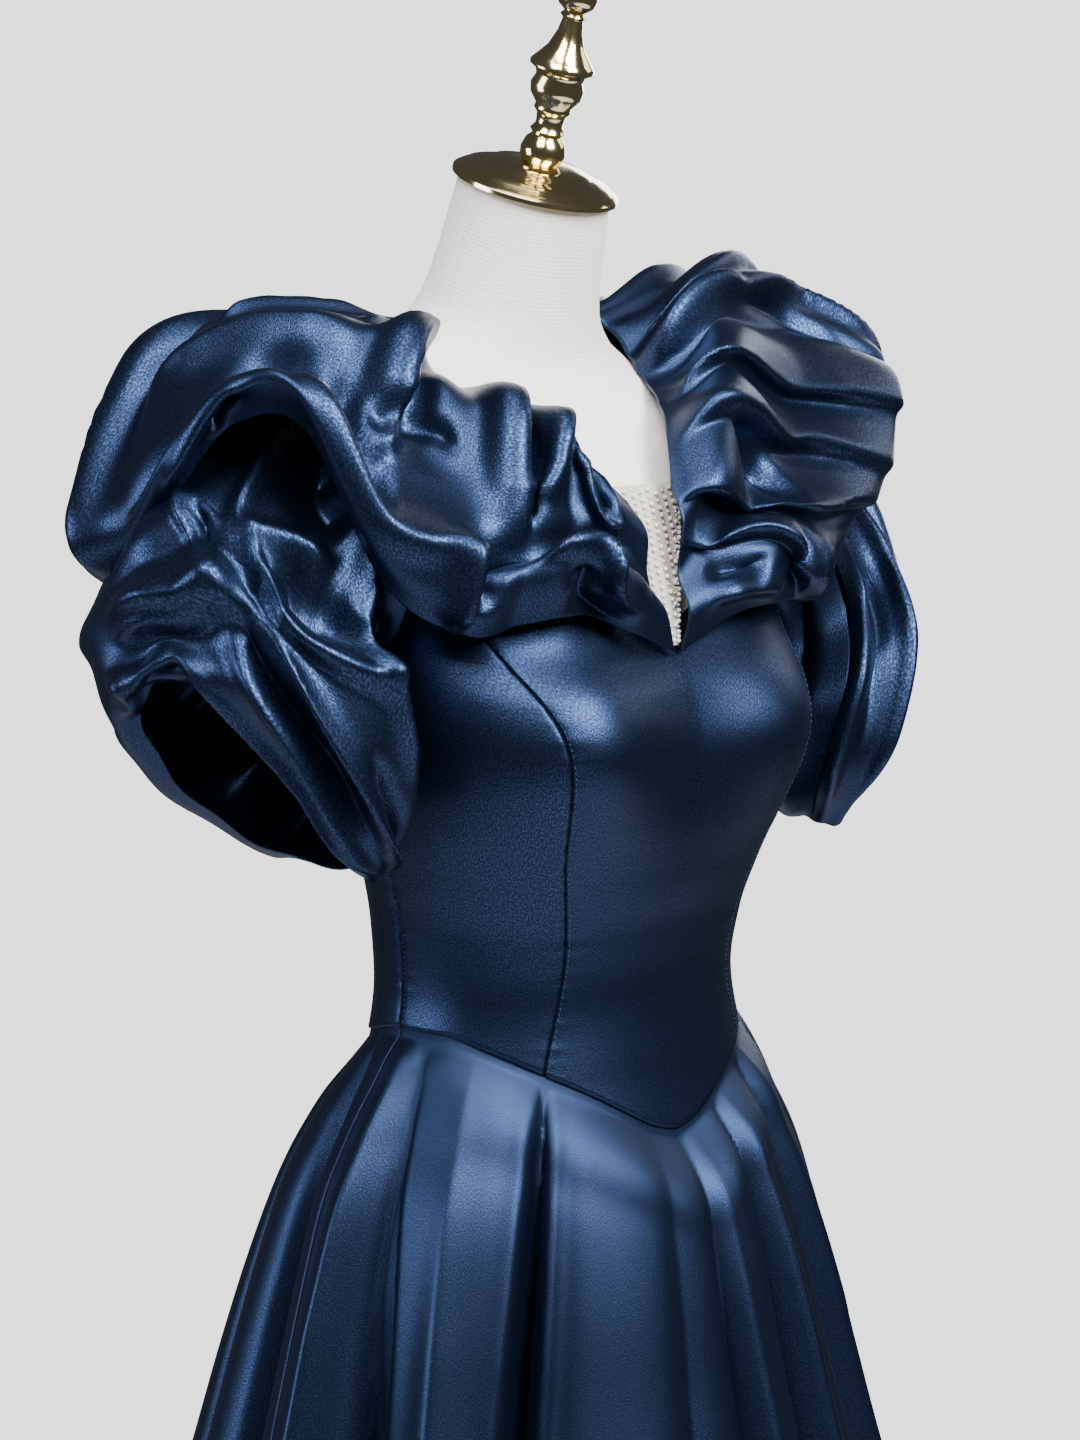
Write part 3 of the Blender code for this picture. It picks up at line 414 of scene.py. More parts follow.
@dataclass(frozen=True)
class PolishedBrass(Finish):
    """Lacquered, gold-plated brass, spun on a lathe and buffed: a mirror with faint turning marks."""

    light: str = "#f6e7b6"
    deep: str = "#e2ca86"
    roughness: float = 0.11
    patch_mm: float = 22.0
    mark_mm: float = 0.7
    mark_mm_round: float = 50.0

    @property
    def bump(self) -> dict[str, float]:
        """The turning marks' relief."""
        return {"Strength": 0.06, "Distance": 0.0002}

    def sockets(self, tree: Tree) -> dict[str, Any]:
        """The plating's colour and gloss in patches, with turning marks.

        Args:
            tree: The material's node tree.

        Returns:
            What feeds the shader's inputs, by their names.
        """
        place = add_node(tree, "ShaderNodeTexCoord").outputs["Object"]
        size = {"Vector": place, "Scale": per_mm(self.patch_mm), "Detail": 2.0}
        patch = add_node(tree, "ShaderNodeTexNoise", size)
        stretch = (per_mm(self.mark_mm_round), per_mm(self.mark_mm_round), per_mm(self.mark_mm))
        flat = add_node(tree, "ShaderNodeMapping", {"Vector": place, "Scale": stretch})
        marks = add_node(tree, "ShaderNodeTexNoise", {"Vector": flat, "Scale": 1.0, "Detail": 1.0})
        least, most = self.roughness - 0.03, self.roughness + 0.05
        ends = {"From Min": 0.3, "From Max": 0.7, "To Min": least, "To Max": most}
        colours = {0: patch, 6: linear(self.light), 7: linear(self.deep)}
        return {
            "Base Color": add_node(tree, "ShaderNodeMix", colours, data_type="RGBA").outputs[2],
            "Roughness": add_node(tree, "ShaderNodeMapRange", {"Value": patch, **ends}),
            "Normal": add_node(tree, "ShaderNodeBump", {"Height": marks, **self.bump}),
            "Metallic": 1.0,
        }


@dataclass(frozen=True)
class SewingThread(Mottled):
    """Spun polyester thread, matt, dyed to match the satin it holds."""

    name: str = "navy_thread"
    light: str = "#24365a"
    dark: str = "#16223c"
    roughness: float = 0.6
    patch_mm: float = 0.8


@dataclass(frozen=True)
class StudioFloor(Mottled):
    """Pale matt vinyl on the studio floor."""

    name: str = "studio_floor"
    light: str = "#c6c6c8"
    dark: str = "#bcbcbf"
    roughness: float = 0.8
    patch_mm: float = 1000.0 / 1.5
    detail: float = 1.0


# The figure that the dress is cut for


def smooth(at: Array, knots: Sequence[float], values: Any, overshoot: bool = False) -> Array:
    """Read a table between its rows, on a smooth curve.

    Args:
        at: Places to read, in the units of knots.
        knots: Rising places of the rows.
        values: One row of numbers for each knot.
        overshoot: True follows the rows loosely, as a draped line does. False never passes a row's value.

    Returns:
        An array with one more axis than at, for the columns.
    """
    knots, values = np.asarray(knots, float), np.asarray(values, float)
    step = np.diff(knots)
    slope = np.diff(values, axis=0) / step[:, None]
    tangent = np.empty_like(values)
    tangent[0], tangent[-1] = slope[0], slope[-1]
    if overshoot:
        tangent[1:-1] = (slope[:-1] * step[1:, None] + slope[1:] * step[:-1, None]) / (
            step[1:, None] + step[:-1, None]
        )
    else:
        product = slope[:-1] * slope[1:]
        total = slope[:-1] + slope[1:]
        tangent[1:-1] = np.where(product > 0, 2 * product / np.where(total == 0, 1, total), 0)
    at = np.clip(np.asarray(at, float), knots[0], knots[-1])
    i = np.clip(np.searchsorted(knots, at, side="right") - 1, 0, len(step) - 1)
    u = ((at - knots[i]) / step[i])[..., None]
    h = step[i][..., None]
    return (
        (1 + 2 * u) * (1 - u) ** 2 * values[i]
        + u * (1 - u) ** 2 * h * tangent[i]
        + u * u * (3 - 2 * u) * values[i + 1]
        + u * u * (u - 1) * h * tangent[i + 1]
    )


def eased(share: Array) -> Array:
    """A share clipped to 0 to 1, starting and ending softly."""
    share = np.clip(share, 0, 1)
    return share * share * (3 - 2 * share)


class FigureRing(NamedTuple):
    """One level of the figure that the dress is cut for."""

    up: float
    half_width: float
    forward: float
    front: float
    back: float
    square: float
    lean: float


FIGURE = (
    FigureRing(-0.270, 0.172, 0.000, 0.116, 0.120, 2.2, 0.0),
    FigureRing(-0.160, 0.160, 0.000, 0.112, 0.112, 2.2, 0.0),
    FigureRing(-0.080, 0.138, 0.002, 0.103, 0.098, 2.2, 0.0),
    FigureRing(-0.030, 0.121, 0.002, 0.093, 0.089, 2.2, 0.0),
    FigureRing(0.015, 0.113, 0.002, 0.088, 0.086, 2.2, 0.0),
    FigureRing(0.050, 0.116, 0.003, 0.092, 0.086, 2.25, 0.0),
    FigureRing(0.083, 0.124, 0.004, 0.100, 0.086, 2.3, 0.0),
    FigureRing(0.120, 0.134, 0.004, 0.109, 0.090, 2.4, 0.0),
    FigureRing(0.160, 0.142, 0.002, 0.114, 0.094, 2.5, 0.0),
    FigureRing(0.190, 0.147, -0.001, 0.109, 0.097, 2.5, 0.0),
    FigureRing(0.220, 0.150, -0.004, 0.096, 0.099, 2.5, 0.0),
    FigureRing(0.260, 0.154, -0.012, 0.092, 0.098, 2.4, 0.0),
    FigureRing(0.300, 0.162, -0.020, 0.088, 0.088, 2.3, 2.0),
    FigureRing(0.335, 0.163, -0.030, 0.080, 0.074, 2.2, 8.0),
    FigureRing(0.352, 0.148, -0.035, 0.070, 0.062, 2.1, 12.0),
    FigureRing(0.365, 0.122, -0.038, 0.060, 0.055, 2.0, 15.0),
    FigureRing(0.378, 0.095, -0.038, 0.054, 0.051, 2.0, 17.0),
    FigureRing(0.392, 0.074, -0.036, 0.048, 0.050, 2.0, 18.0),
    FigureRing(0.410, 0.060, -0.032, 0.046, 0.048, 2.0, 18.3),
    FigureRing(0.440, 0.053, -0.024, 0.045, 0.046, 2.0, 18.3),
    FigureRing(0.476, 0.0485, -0.0135, 0.044, 0.044, 2.0, 18.3),
)


@dataclass(frozen=True)
class Figure:
    """The figure that the dress is cut for, as rings from the hip to the neck, with the bodice's cups."""

    rings: tuple[FigureRing, ...] = FIGURE
    cup_x: float = 0.086
    cup_up: float = 0.174
    cup_depth_m: float = 0.022
    cup_half_width: float = 0.052
    cup_rise: float = 0.050
    cup_drop: float = 0.062
    cup_fade: float = 0.05
    longest_push: float = 0.02

    def ring(self, level: Array) -> Array:
        """Half width, forward, front, back, square and lean of the figure at each level."""
        table = np.array(self.rings)
        return np.moveaxis(smooth(level, table[:, 0], table[:, 1:]), -1, 0)

    def cup_depth(self, x: Array, up: Array) -> Array:
        """How far the bodice's cups stand forward of the plain ring.

        Args:
            x: Places across the figure.
            up: Their levels.

        Returns:
            Metres forward.
        """
        spread = np.where(up > self.cup_up, self.cup_rise, self.cup_drop)
        beside, above = (np.abs(x) - self.cup_x) / self.cup_half_width, (up - self.cup_up) / spread
        return self.cup_depth_m * np.exp(-(beside**2) - above**2)

    def point(self, angle: Array, level: Array) -> Array:
        """Points on the figure.

        Args:
            angle: Degrees from the centre front towards the wearer's left.
            level: Metres above the waist.

        Returns:
            Points (x, forward, up).
        """
        half_width, middle, front, back, square, lean = self.ring(level)
        sine, cosine = np.sin(np.radians(angle)), np.cos(np.radians(angle))
        x = half_width * np.sign(sine) * np.abs(sine) ** (2 / square)
        depth = np.where(cosine > 0, front, back)
        ahead = depth * np.sign(cosine) * np.abs(cosine) ** (2 / square)
        up = level - ahead * np.tan(np.radians(lean))
        cup = self.cup_depth(x, up) * np.clip(ahead / self.cup_fade, 0, 1)
        return np.stack([x, middle + ahead + cup, up], axis=-1)

    def ratio(self, points: Array) -> Array:
        """How far out points lie.

        Args:
            points: Points (x, forward, up).

        Returns:
            1 on the figure's surface, less inside it and more outside.
        """
        x, forward, up = np.moveaxis(points, -1, 0)
        level = up
        half_width, middle, front, back, square, lean = self.ring(level)
        for _ in range(3):
            level = up + (forward - middle) * np.tan(np.radians(lean))
            half_width, middle, front, back, square, lean = self.ring(level)
        ahead = forward - middle
        ahead = ahead - self.cup_depth(x, up) * np.clip(ahead / self.cup_fade, 0, 1)
        depth = np.where(ahead > 0, front, back)
        return ((np.abs(x) / half_width) ** square + (np.abs(ahead) / depth) ** square) ** (1 / square)

    def slope(self, points: Array) -> Array:
        """The gradient of the ratio.

        Args:
            points: Points (x, forward, up).

        Returns:
            The gradient at each point.
        """
        reach = 0.0005
        rises = [self.ratio(points + step) - self.ratio(points - step) for step in np.eye(3) * reach]
        return np.stack(rises, axis=-1) / (2 * reach)

    def moved_out(self, points: Array, distance: Any) -> Array:
        """Move points on the figure out along its normal.

        Args:
            points: Points (x, forward, up).
            distance: Metres, one for all or one for each.

        Returns:
            The moved points.
        """
        slope = self.slope(points)
        outwards = slope / np.linalg.norm(slope, axis=-1, keepdims=True)
        return points + outwards * np.asarray(distance)[..., None]

    def kept_clear(self, points: Array, clearance: Any) -> Array:
        """Move out the points that are nearer the figure than a clearance.

        Args:
            points: Points (x, forward, up).
            clearance: Metres, one for all or one for each.

        Returns:
            All the points.
        """
        for _ in range(6):
            slope = self.slope(points)
            size = np.linalg.norm(slope, axis=-1)
            gap = (self.ratio(points) - 1) / size
            short = np.clip(clearance - gap, 0, self.longest_push)
            points = points + slope / size[..., None] * short[..., None]
        return points

    def landed(self, points: Array, distance: float) -> Array:
        """Move points along the figure's normal until they are a distance from it.

        Args:
            points: Points (x, forward, up).
            distance: Metres.

        Returns:
            The moved points.
        """
        step = self.longest_push / 2
        for _ in range(8):
            slope = self.slope(points)
            size = np.linalg.norm(slope, axis=-1, keepdims=True)
            gap = (self.ratio(points)[..., None] - 1) / size
            points = points + slope / size * np.clip(distance - gap, -step, step)
        return points


# Cloth


def world(points: Array) -> Array:
    """Points (x, forward, up) in the model's own frame."""
    points = np.asarray(points, float)
    return np.stack([points[..., 0], -points[..., 1], WAIST_HEIGHT + points[..., 2]], axis=-1)


def meshed(name: str, build: Build) -> Piece:
    """Turn a finished bmesh into a smooth object at the origin.

    Args:
        name: The object's name.
        build: The bmesh, which is freed.

    Returns:
        The object.
    """
    for face in build.faces:
        face.smooth = True
    mesh = bpy.data.meshes.new(name)
    build.to_mesh(mesh)
    build.free()
    made = bpy.data.objects.new(name, mesh)
    bpy.context.scene.collection.objects.link(made)
    return made


class Crease(NamedTuple):
    """A crease: a ridge, or a trough where its height is below zero.

    Its line runs smoothly through its path, whose places are shares of the cut's width and of its length.
    Steep makes the side to the right of the line as it runs a narrow one, as where one fold lies over the
    next, and the left side where it is below zero. Lean tips the crease to the right, as a share of its
    height, and to the left below zero. Sharp gives it a narrow crest or bottom.
    """

    path: tuple[tuple[float, float], ...]
    half_width: float
    height: float
    steep: float = 0.0
    lean: float = 0.0
    sharp: float = 0.25


def creased(points: Array, place: Array, creases: Sequence[Crease], size: tuple[float, float]) -> Array:
    """Raise creases on a draped grid.

    Args:
        points: Grid points, rows across the piece and columns along it.
        place: Two shares of the cut at each point.
        creases: The piece's creases.
        size: Width and length of the piece in metres.

    Returns:
        The moved points.
    """
    line_points, fade, tail = 25, 3.5, 1.6
    run_along, run_across = np.gradient(points, axis=1), np.gradient(points, axis=0)
    normal = np.cross(run_along, run_across)
    normal /= np.linalg.norm(normal, axis=-1, keepdims=True) + 1e-12
    unit_along = run_along / (np.linalg.norm(run_along, axis=-1, keepdims=True) + 1e-12)
    unit_across = np.cross(normal, unit_along)
    spots = place * np.array(size)
    height = np.zeros(place.shape[:2])
    slide = np.zeros(place.shape)
    for crease in creases:
        knots = np.linspace(0, 1, len(crease.path))
        path = np.array(crease.path) * np.array(size)
        line = smooth(np.linspace(0, 1, line_points), knots, path, overshoot=True)
        nearest = np.full(height.shape, np.inf)
        share, signed, side = np.zeros(height.shape), np.zeros(height.shape), np.zeros(place.shape)
        for i, (first, last) in enumerate(zip(line, line[1:])):
            run = last - first
            offset = spots - first
            part = np.clip(offset @ run / (run @ run), 0, 1)
            distance = np.linalg.norm(offset - part[..., None] * run, axis=-1)
            closer = distance < nearest
            right = np.array([run[1], -run[0]]) / np.linalg.norm(run)
            nearest = np.where(closer, distance, nearest)
            share = np.where(closer, (i + part) / (len(line) - 1), share)
            signed = np.where(closer, offset @ right, signed)
            side = np.where(closer[..., None], right, side)
        narrow = np.where(signed > 0, max(crease.steep, 0), max(-crease.steep, 0))
        spread = nearest / (crease.half_width * (1 - narrow))
        form = np.exp(-(spread**2)) * (1 - crease.sharp) + np.exp(-tail * spread) * crease.sharp
        form *= eased(share * fade) * eased((1 - share) * fade)
        height += crease.height * form
        slide += side * (crease.lean * abs(crease.height) * form)[..., None]
    return points + normal * height[..., None] + unit_along * slide[..., :1] + unit_across * slide[..., 1:]


@dataclass
class Sheet:
    """A sheet of cloth that is cut flat and then draped.

    Attributes:
        name: The piece's name.
        width: Width of the flat cut, along its grid's columns.
        length: Length of the flat cut, along its grid's rows.
        columns: Grid cells across the width.
        rows: Grid cells along the length.
        wall: Thickness of the cloth.
        tube: Whether the first column is sewn to the last.
        turned: Whether the cloth's outer face is the grid's lower one.
    """

    name: str
    width: float
    length: float
    columns: int
    rows: int
    wall: float = 0.0009
    tube: bool = False
    turned: bool = False

    def drape(self, place: Place) -> Piece:
        """Cut the sheet and hang it.

        Args:
            place: Gives points (x, forward, up) for grids of shares of the width and the length.

        Returns:
            The piece, with its cut in the UV map named cut, in metres.
        """
        build = bmesh.new()
        cut = build.loops.layers.uv.new("cut")
        bmesh.ops.create_grid(build, x_segments=self.columns, y_segments=self.rows, size=0.5)
        verts = sorted(build.verts, key=lambda vert: (round(vert.co.y, 5), vert.co.x))
        flat = np.array([vert.co[:2] for vert in verts]).reshape(self.rows + 1, self.columns + 1, 2) + 0.5
        for face in build.faces:
            for loop in face.loops:
                x, y, _ = loop.vert.co
                loop[cut].uv = ((x + 0.5) * self.width, (y + 0.5) * self.length)
        for vert, point in zip(verts, world(place(flat[..., 0], flat[..., 1])).reshape(-1, 3)):
            vert.co = point
        if self.tube:
            bmesh.ops.remove_doubles(build, verts=build.verts, dist=1e-6)
        if self.turned:
            bmesh.ops.reverse_faces(build, faces=build.faces)
        return meshed(self.name, build)

    def walled(self, place: Place) -> Piece:
        """Hang the sheet and give the cloth its thickness, outwards from its points.

        Args:
            place: As for drape.

        Returns:
            The piece.
        """
        made = self.drape(place)
        thickness = made.modifiers.new("wall", "SOLIDIFY")
        thickness.thickness = self.wall
        thickness.offset = 1.0
        thickness.use_even_offset = False
        return made


def dressed(made: Piece, finish: Material, replaces: Sequence[str] = ()) -> Piece:
    """Args:
        made: The piece.
        finish: Its material.
        replaces: The nodes that it stands for.

    Returns:
        The piece.
    """
    made.data.materials.clear()
    made.data.materials.append(finish)
    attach(made, "root")
    if replaces:
        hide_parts(*replaces)
    LOG.info("piece %s: %d vertices", made.name, len(made.data.vertices))
    return made


# The dress


class SeamPoint(NamedTuple):
    """Where the bodice's seams lie at one level, as angles round the figure."""

    up: float
    princess: float
    side: float
    back_princess: float


SEAMS = (
    SeamPoint(-0.070, 43.0, 94.0, 141.0),
    SeamPoint(-0.027, 39.5, 94.0, 142.0),
    SeamPoint(0.044, 33.6, 93.0, 147.0),
    SeamPoint(0.107, 37.0, 93.0, 147.0),
    SeamPoint(0.173, 39.5, 93.0, 143.0),
    SeamPoint(0.210, 45.0, 93.0, 138.0),
    SeamPoint(0.265, 57.0, 93.0, 128.0),
)


class EdgePoint(NamedTuple):
    """Levels of the bodice's waist seam and top edge at one angle."""

    angle: float
    waist: float
    top: float


BODICE_EDGES = (
    EdgePoint(0.0, -0.067, 0.226),
    EdgePoint(6.0, -0.0625, 0.236),
    EdgePoint(14.0, -0.0525, 0.252),
    EdgePoint(24.0, -0.041, 0.262),
    EdgePoint(39.5, -0.027, 0.268),
    EdgePoint(58.0, -0.014, 0.272),
    EdgePoint(76.0, -0.006, 0.264),
    EdgePoint(94.0, -0.006, 0.248),
    EdgePoint(112.0, -0.012, 0.248),
    EdgePoint(130.0, -0.017, 0.262),
    EdgePoint(180.0, -0.020, 0.285),
)


class Panel(NamedTuple):
    """A bodice panel between two seams, with the size of its flat cut and that cut's area."""

    name: str
    start: str
    end: str
    width: float
    length: float
    area: float


@dataclass
class Bodice:
    """The fitted bodice: seven panels with puckered seams, and the stitches beside them."""

    figure: Figure
    satin: Material
    thread: Material
    panels: tuple[Panel, ...] = (
        Panel("bodice_front", "-princess", "princess", 0.290, 0.345, 0.063),
        Panel("bodice_side_front_left", "princess", "side", 0.160, 0.300, 0.032),
        Panel("bodice_side_front_right", "-side", "-princess", 0.160, 0.300, 0.032),
        Panel("bodice_side_back_left", "side", "back_princess", 0.105, 0.290, 0.025),
        Panel("bodice_side_back_right", "-back_princess", "-side", 0.105, 0.290, 0.025),
        Panel("bodice_back_left", "back_princess", "centre_back", 0.130, 0.320, 0.029),
        Panel("bodice_back_right", "-centre_back", "-back_princess", 0.130, 0.320, 0.029),
    )
    cell: float = 0.0036
    first_waist: float = -0.02
    first_height: float = 0.26
    radius: float = 0.11
    seam_radius: float = 0.115
    stand_off: float = BODICE_GAP + 0.0011
    seam_depth: float = 0.0007
    seam_half_width: float = 0.0014
    seam_cells: int = 40
    pucker_pitch: float = 0.0085
    pucker_height: float = 0.00045
    pucker_reach: float = 0.006
    stitch_off: float = BODICE_GAP + 0.0019
    stitch_beside: float = 0.0017
    stitch_end: float = 0.003
    stitch_pitch: float = 0.0032
    stitch_length: float = 0.0021
    stitch_radius: float = 0.00030

    def edges(self, angle: Array) -> tuple[Array, Array]:
        """Levels of the bodice's two edges.

        Args:
            angle: Angles round the figure.

        Returns:
            The waist seam's levels and the top edge's.
        """
        table = np.array(BODICE_EDGES)
        levels = smooth(np.abs(angle), table[:, 0], table[:, 1:])
        return levels[..., 0], levels[..., 1]

    def seam(self, name: str, level: Array) -> Array:
        """The line of a seam.

        Args:
            name: The seam's name, with a minus sign for the wearer's right.
            level: Levels to read.

        Returns:
            Angles round the figure.
        """
        if name.startswith("-"):
            return -self.seam(name[1:], level)
        if name == "centre_back":
            return np.full_like(level, 180.0)
        table = np.array(SEAMS)
        column = SeamPoint._fields.index(name)
        return smooth(level, table[:, 0], table[:, column : column + 1])[..., 0]

    def surface(self, panel: Panel, across: Array, rise: Array) -> Array:
        """Points of a panel's inner face.

        Args:
            panel: The panel.
            across: Shares from seam to seam.
            rise: Shares from the waist to the top edge.

        Returns:
            Points (x, forward, up).
        """
        level = self.first_waist + self.first_height * rise
        for _ in range(5):
            angle = self.seam(panel.start, level) * (1 - across) + self.seam(panel.end, level) * across
            waist, top = self.edges(angle)
            level = waist + (top - waist) * rise
        span = self.seam(panel.end, level) - self.seam(panel.start, level)
        inset = np.degrees(SEAM_GAP / 2 / self.radius)
        beside = eased(1 - np.minimum(across, 1 - across) * self.seam_cells)
        angle = angle + inset * np.sign(0.5 - across) * beside
        points = self.figure.point(angle, level)
        from_seam = np.minimum(across, 1 - across) * np.radians(span) * self.seam_radius
        wave = np.sin(2 * np.pi * level / self.pucker_pitch + 2.2 * np.sin(level * 90))
        wave = wave + 0.5 * np.sin(2 * np.pi * level / (self.pucker_pitch * 1.7) + 1.0)
        pucker = self.pucker_height * wave * np.exp(-from_seam / self.pucker_reach)
        dip = -self.seam_depth * np.exp(-((from_seam / self.seam_half_width) ** 2))
        return self.figure.moved_out(points, self.stand_off + pucker + dip)

    def build(self) -> None:
        """Build the panels and their stitches."""
        for panel in self.panels:
            columns = max(8, round(panel.width / self.cell))
            rows = round(panel.length / self.cell)
            sheet = Sheet(panel.name + "_satin", panel.width, panel.length, columns, rows)
            made = sheet.walled(partial(self.surface, panel))
            dressed(made, self.satin, [panel.name])
        self.build_stitches()

    def build_stitches(self) -> None:
        """Lay a row of short stitches beside each princess seam and side seam."""
        build = bmesh.new()
        size = Matrix.Diagonal((self.stitch_radius, self.stitch_radius, self.stitch_length / 2, 1.0))
        level = np.arange(-0.060, 0.262, self.stitch_pitch)
        for seam in ("princess", "-princess", "side", "-side", "back_princess", "-back_princess"):
            angle = self.seam(seam, level) + np.degrees(self.stitch_beside / self.seam_radius)
            waist, top = self.edges(angle)
            inside = (level > waist + self.stitch_end) & (level < top - self.stitch_end)
            spots = world(self.figure.moved_out(self.figure.point(angle, level), self.stitch_off))
            for i in np.flatnonzero(inside[:-1]):
                run = Vector(spots[i + 1] - spots[i]).normalized()
                turn = run.to_track_quat("Z", "Y").to_matrix().to_4x4()
                stitch = bmesh.ops.create_uvsphere(build, u_segments=6, v_segments=4, radius=1.0)
                move = Matrix.Translation(Vector(spots[i])) @ turn @ size
                bmesh.ops.transform(build, matrix=move, verts=stitch["verts"])
        dressed(meshed("seam_stitches", build), self.thread)


@dataclass
class BeadedInsert:
    """The net panel in the V of the neckline, with its rows of pearls and cut stones."""

    figure: Figure
    net: Material
    pearl: Material
    stone: Material
    bottom: float = 0.2135
    top: float = 0.308
    half_bottom: float = 0.004
    half_top: float = 0.034
    lift: float = 0.0012
    wall: float = 0.001
    cloth: float = 0.0004
    end: float = 0.003
    side_margin: float = 0.0015
    row_pitch: float = 0.0062
    row_stagger: float = 0.37
    bead_pitch: float = 0.0043
    side_pitch: float = 0.68
    side_rows: tuple[float, float] = (0.0006, 0.0032)
    pearl_radius: float = 0.0014
    stone_radius: float = 0.0011

    def surface(self, x: Array, level: Array, out: float) -> Array:
        """Points over the net's inner face.

        Args:
            x: Distances sideways from the centre front.
            level: Their levels.
            out: Distance out from the inner face.

        Returns:
            Points (x, forward, up).
        """
        half_width, _, _, _, square, _ = self.figure.ring(level)
        angle = np.degrees(np.arcsin(np.sign(x) * (np.abs(x) / half_width) ** (square / 2)))
        away = np.full(np.shape(x), ON_BODICE + self.lift + out)
        return self.figure.moved_out(self.figure.point(angle, level), away)

    def half(self, level: Array) -> Array:
        """Half width of the panel at a level."""
        wider, taller = self.half_top - self.half_bottom, self.top - self.bottom
        return self.half_bottom + wider * (level - self.bottom) / taller

    def place(self, across: Array, rise: Array) -> Array:
        """Points of the net, from side to side and from its bottom to its top."""
        level = self.bottom + (self.top - self.bottom) * rise
        return self.surface(self.half(level) * (2 * across - 1), level, self.wall)

    def build(self) -> None:
        """Build the net and its beads."""
        cut = (self.half_top * 2, self.top - self.bottom)
        made = Sheet("neckline_net", *cut, 24, 32, wall=self.cloth).walled(self.place)
        dressed(made, self.net, ["v_insert"])
        pearls, stones = bmesh.new(), bmesh.new()
        columns = int(self.half_top / self.row_pitch)
        for column in range(-columns, columns + 1):
            x = column * self.row_pitch
            start = self.bottom + self.end + self.bead_pitch * (column * self.row_stagger % 1)
            for i, level in enumerate(np.arange(start, self.top - self.end, self.bead_pitch)):
                if abs(x) <= self.half(level) - self.side_margin:
                    self.add_bead(pearls, stones, x, level, (i + column) % 3 == 2)
        levels = np.arange(self.bottom + 0.002, self.top, self.bead_pitch * self.side_pitch)
        outer, inner = self.side_rows
        for side in (-1, 1):
            for i, level in enumerate(levels):
                half = self.half(level)
                self.add_bead(pearls, stones, side * (half - outer), level, i % 4 == 3)
                if i % 2:
                    self.add_bead(pearls, stones, side * (half - inner), level + 0.001, i % 4 == 1)
        beads = [
            dressed(meshed("neckline_pearls", pearls), self.pearl),
            dressed(meshed("neckline_stones", stones), self.stone),
        ]

    def add_bead(self, pearls: Build, stones: Build, x: float, level: float, stone: bool) -> None:
        """Set one bead on the net.

        Args:
            pearls: The pearls' bmesh.
            stones: The cut stones' bmesh.
            x: The bead's distance sideways.
            level: Its level.
            stone: Whether it is a cut stone and not a pearl.
        """
        radius = self.stone_radius if stone else self.pearl_radius
        out = self.wall + self.cloth + radius * 0.8
        move = Matrix.Translation(Vector(world(self.surface(np.array(x), np.array(level), out))))
        if stone:
            bmesh.ops.create_icosphere(stones, subdivisions=1, radius=radius, matrix=move)
        else:
            bmesh.ops.create_uvsphere(pearls, u_segments=8, v_segments=6, radius=radius, matrix=move)


class CollarSection(NamedTuple):
    """One section of the collar, from its seam at the neckline to its turned edge, in metres."""

    along: float
    seam: Spot
    roll: Spot
    valley: Spot
    lip: Spot
    edge: Spot


def collar_sections(*rows: tuple[float, ...]) -> tuple[CollarSection, ...]:
    """Sections of a collar half.

    Args:
        rows: For each section its share of the collar's length, then its seam, roll, valley, lip and edge,
            each as x, forward and up in millimetres.

    Returns:
        The sections.
    """
    spots = ([tuple(mm / 1000 for mm in row[i : i + 3]) for i in range(1, 16, 3)] for row in rows)
    return tuple(CollarSection(row[0], *five) for row, five in zip(rows, spots))


COLLAR_LEFT = collar_sections(
    (0.00, 9, 88, 305, 7, 101, 283, 6, 97, 258, 4, 108, 235, 2, 103, 213),
    (0.08, 34, 60, 337, 42, 92, 322, 44, 94, 285, 45, 116, 258, 44, 108, 232),
    (0.17, 58, 30, 350, 72, 72, 352, 80, 86, 305, 88, 116, 272, 88, 106, 236),
    (0.28, 80, -4, 362, 105, 42, 382, 125, 62, 325, 156, 90, 270, 150, 80, 236),
    (0.37, 82, -18, 374, 130, 15, 406, 168, 36, 362, 216, 72, 312, 200, 62, 280),
    (0.45, 81, -30, 387, 155, -10, 420, 200, 6, 402, 250, 50, 358, 230, 40, 330),
    (0.53, 77, -41, 397, 168, -35, 424, 214, -22, 404, 266, 22, 370, 246, 14, 340),
    (0.62, 72, -50, 400, 175, -60, 416, 222, -56, 386, 276, -20, 340, 256, -22, 312),
    (0.71, 66, -62, 399, 168, -85, 406, 216, -92, 368, 272, -70, 314, 256, -66, 290),
    (0.80, 56, -76, 395, 145, -108, 390, 188, -118, 335, 238, -122, 286, 228, -110, 260),
    (0.90, 34, -88, 390, 90, -124, 375, 118, -130, 312, 142, -140, 262, 138, -126, 230),
    (1.00, 0.6, -96, 382, 0.6, -124, 366, 0.6, -126, 306, 0.6, -138, 256, 0.6, -127, 220),
)
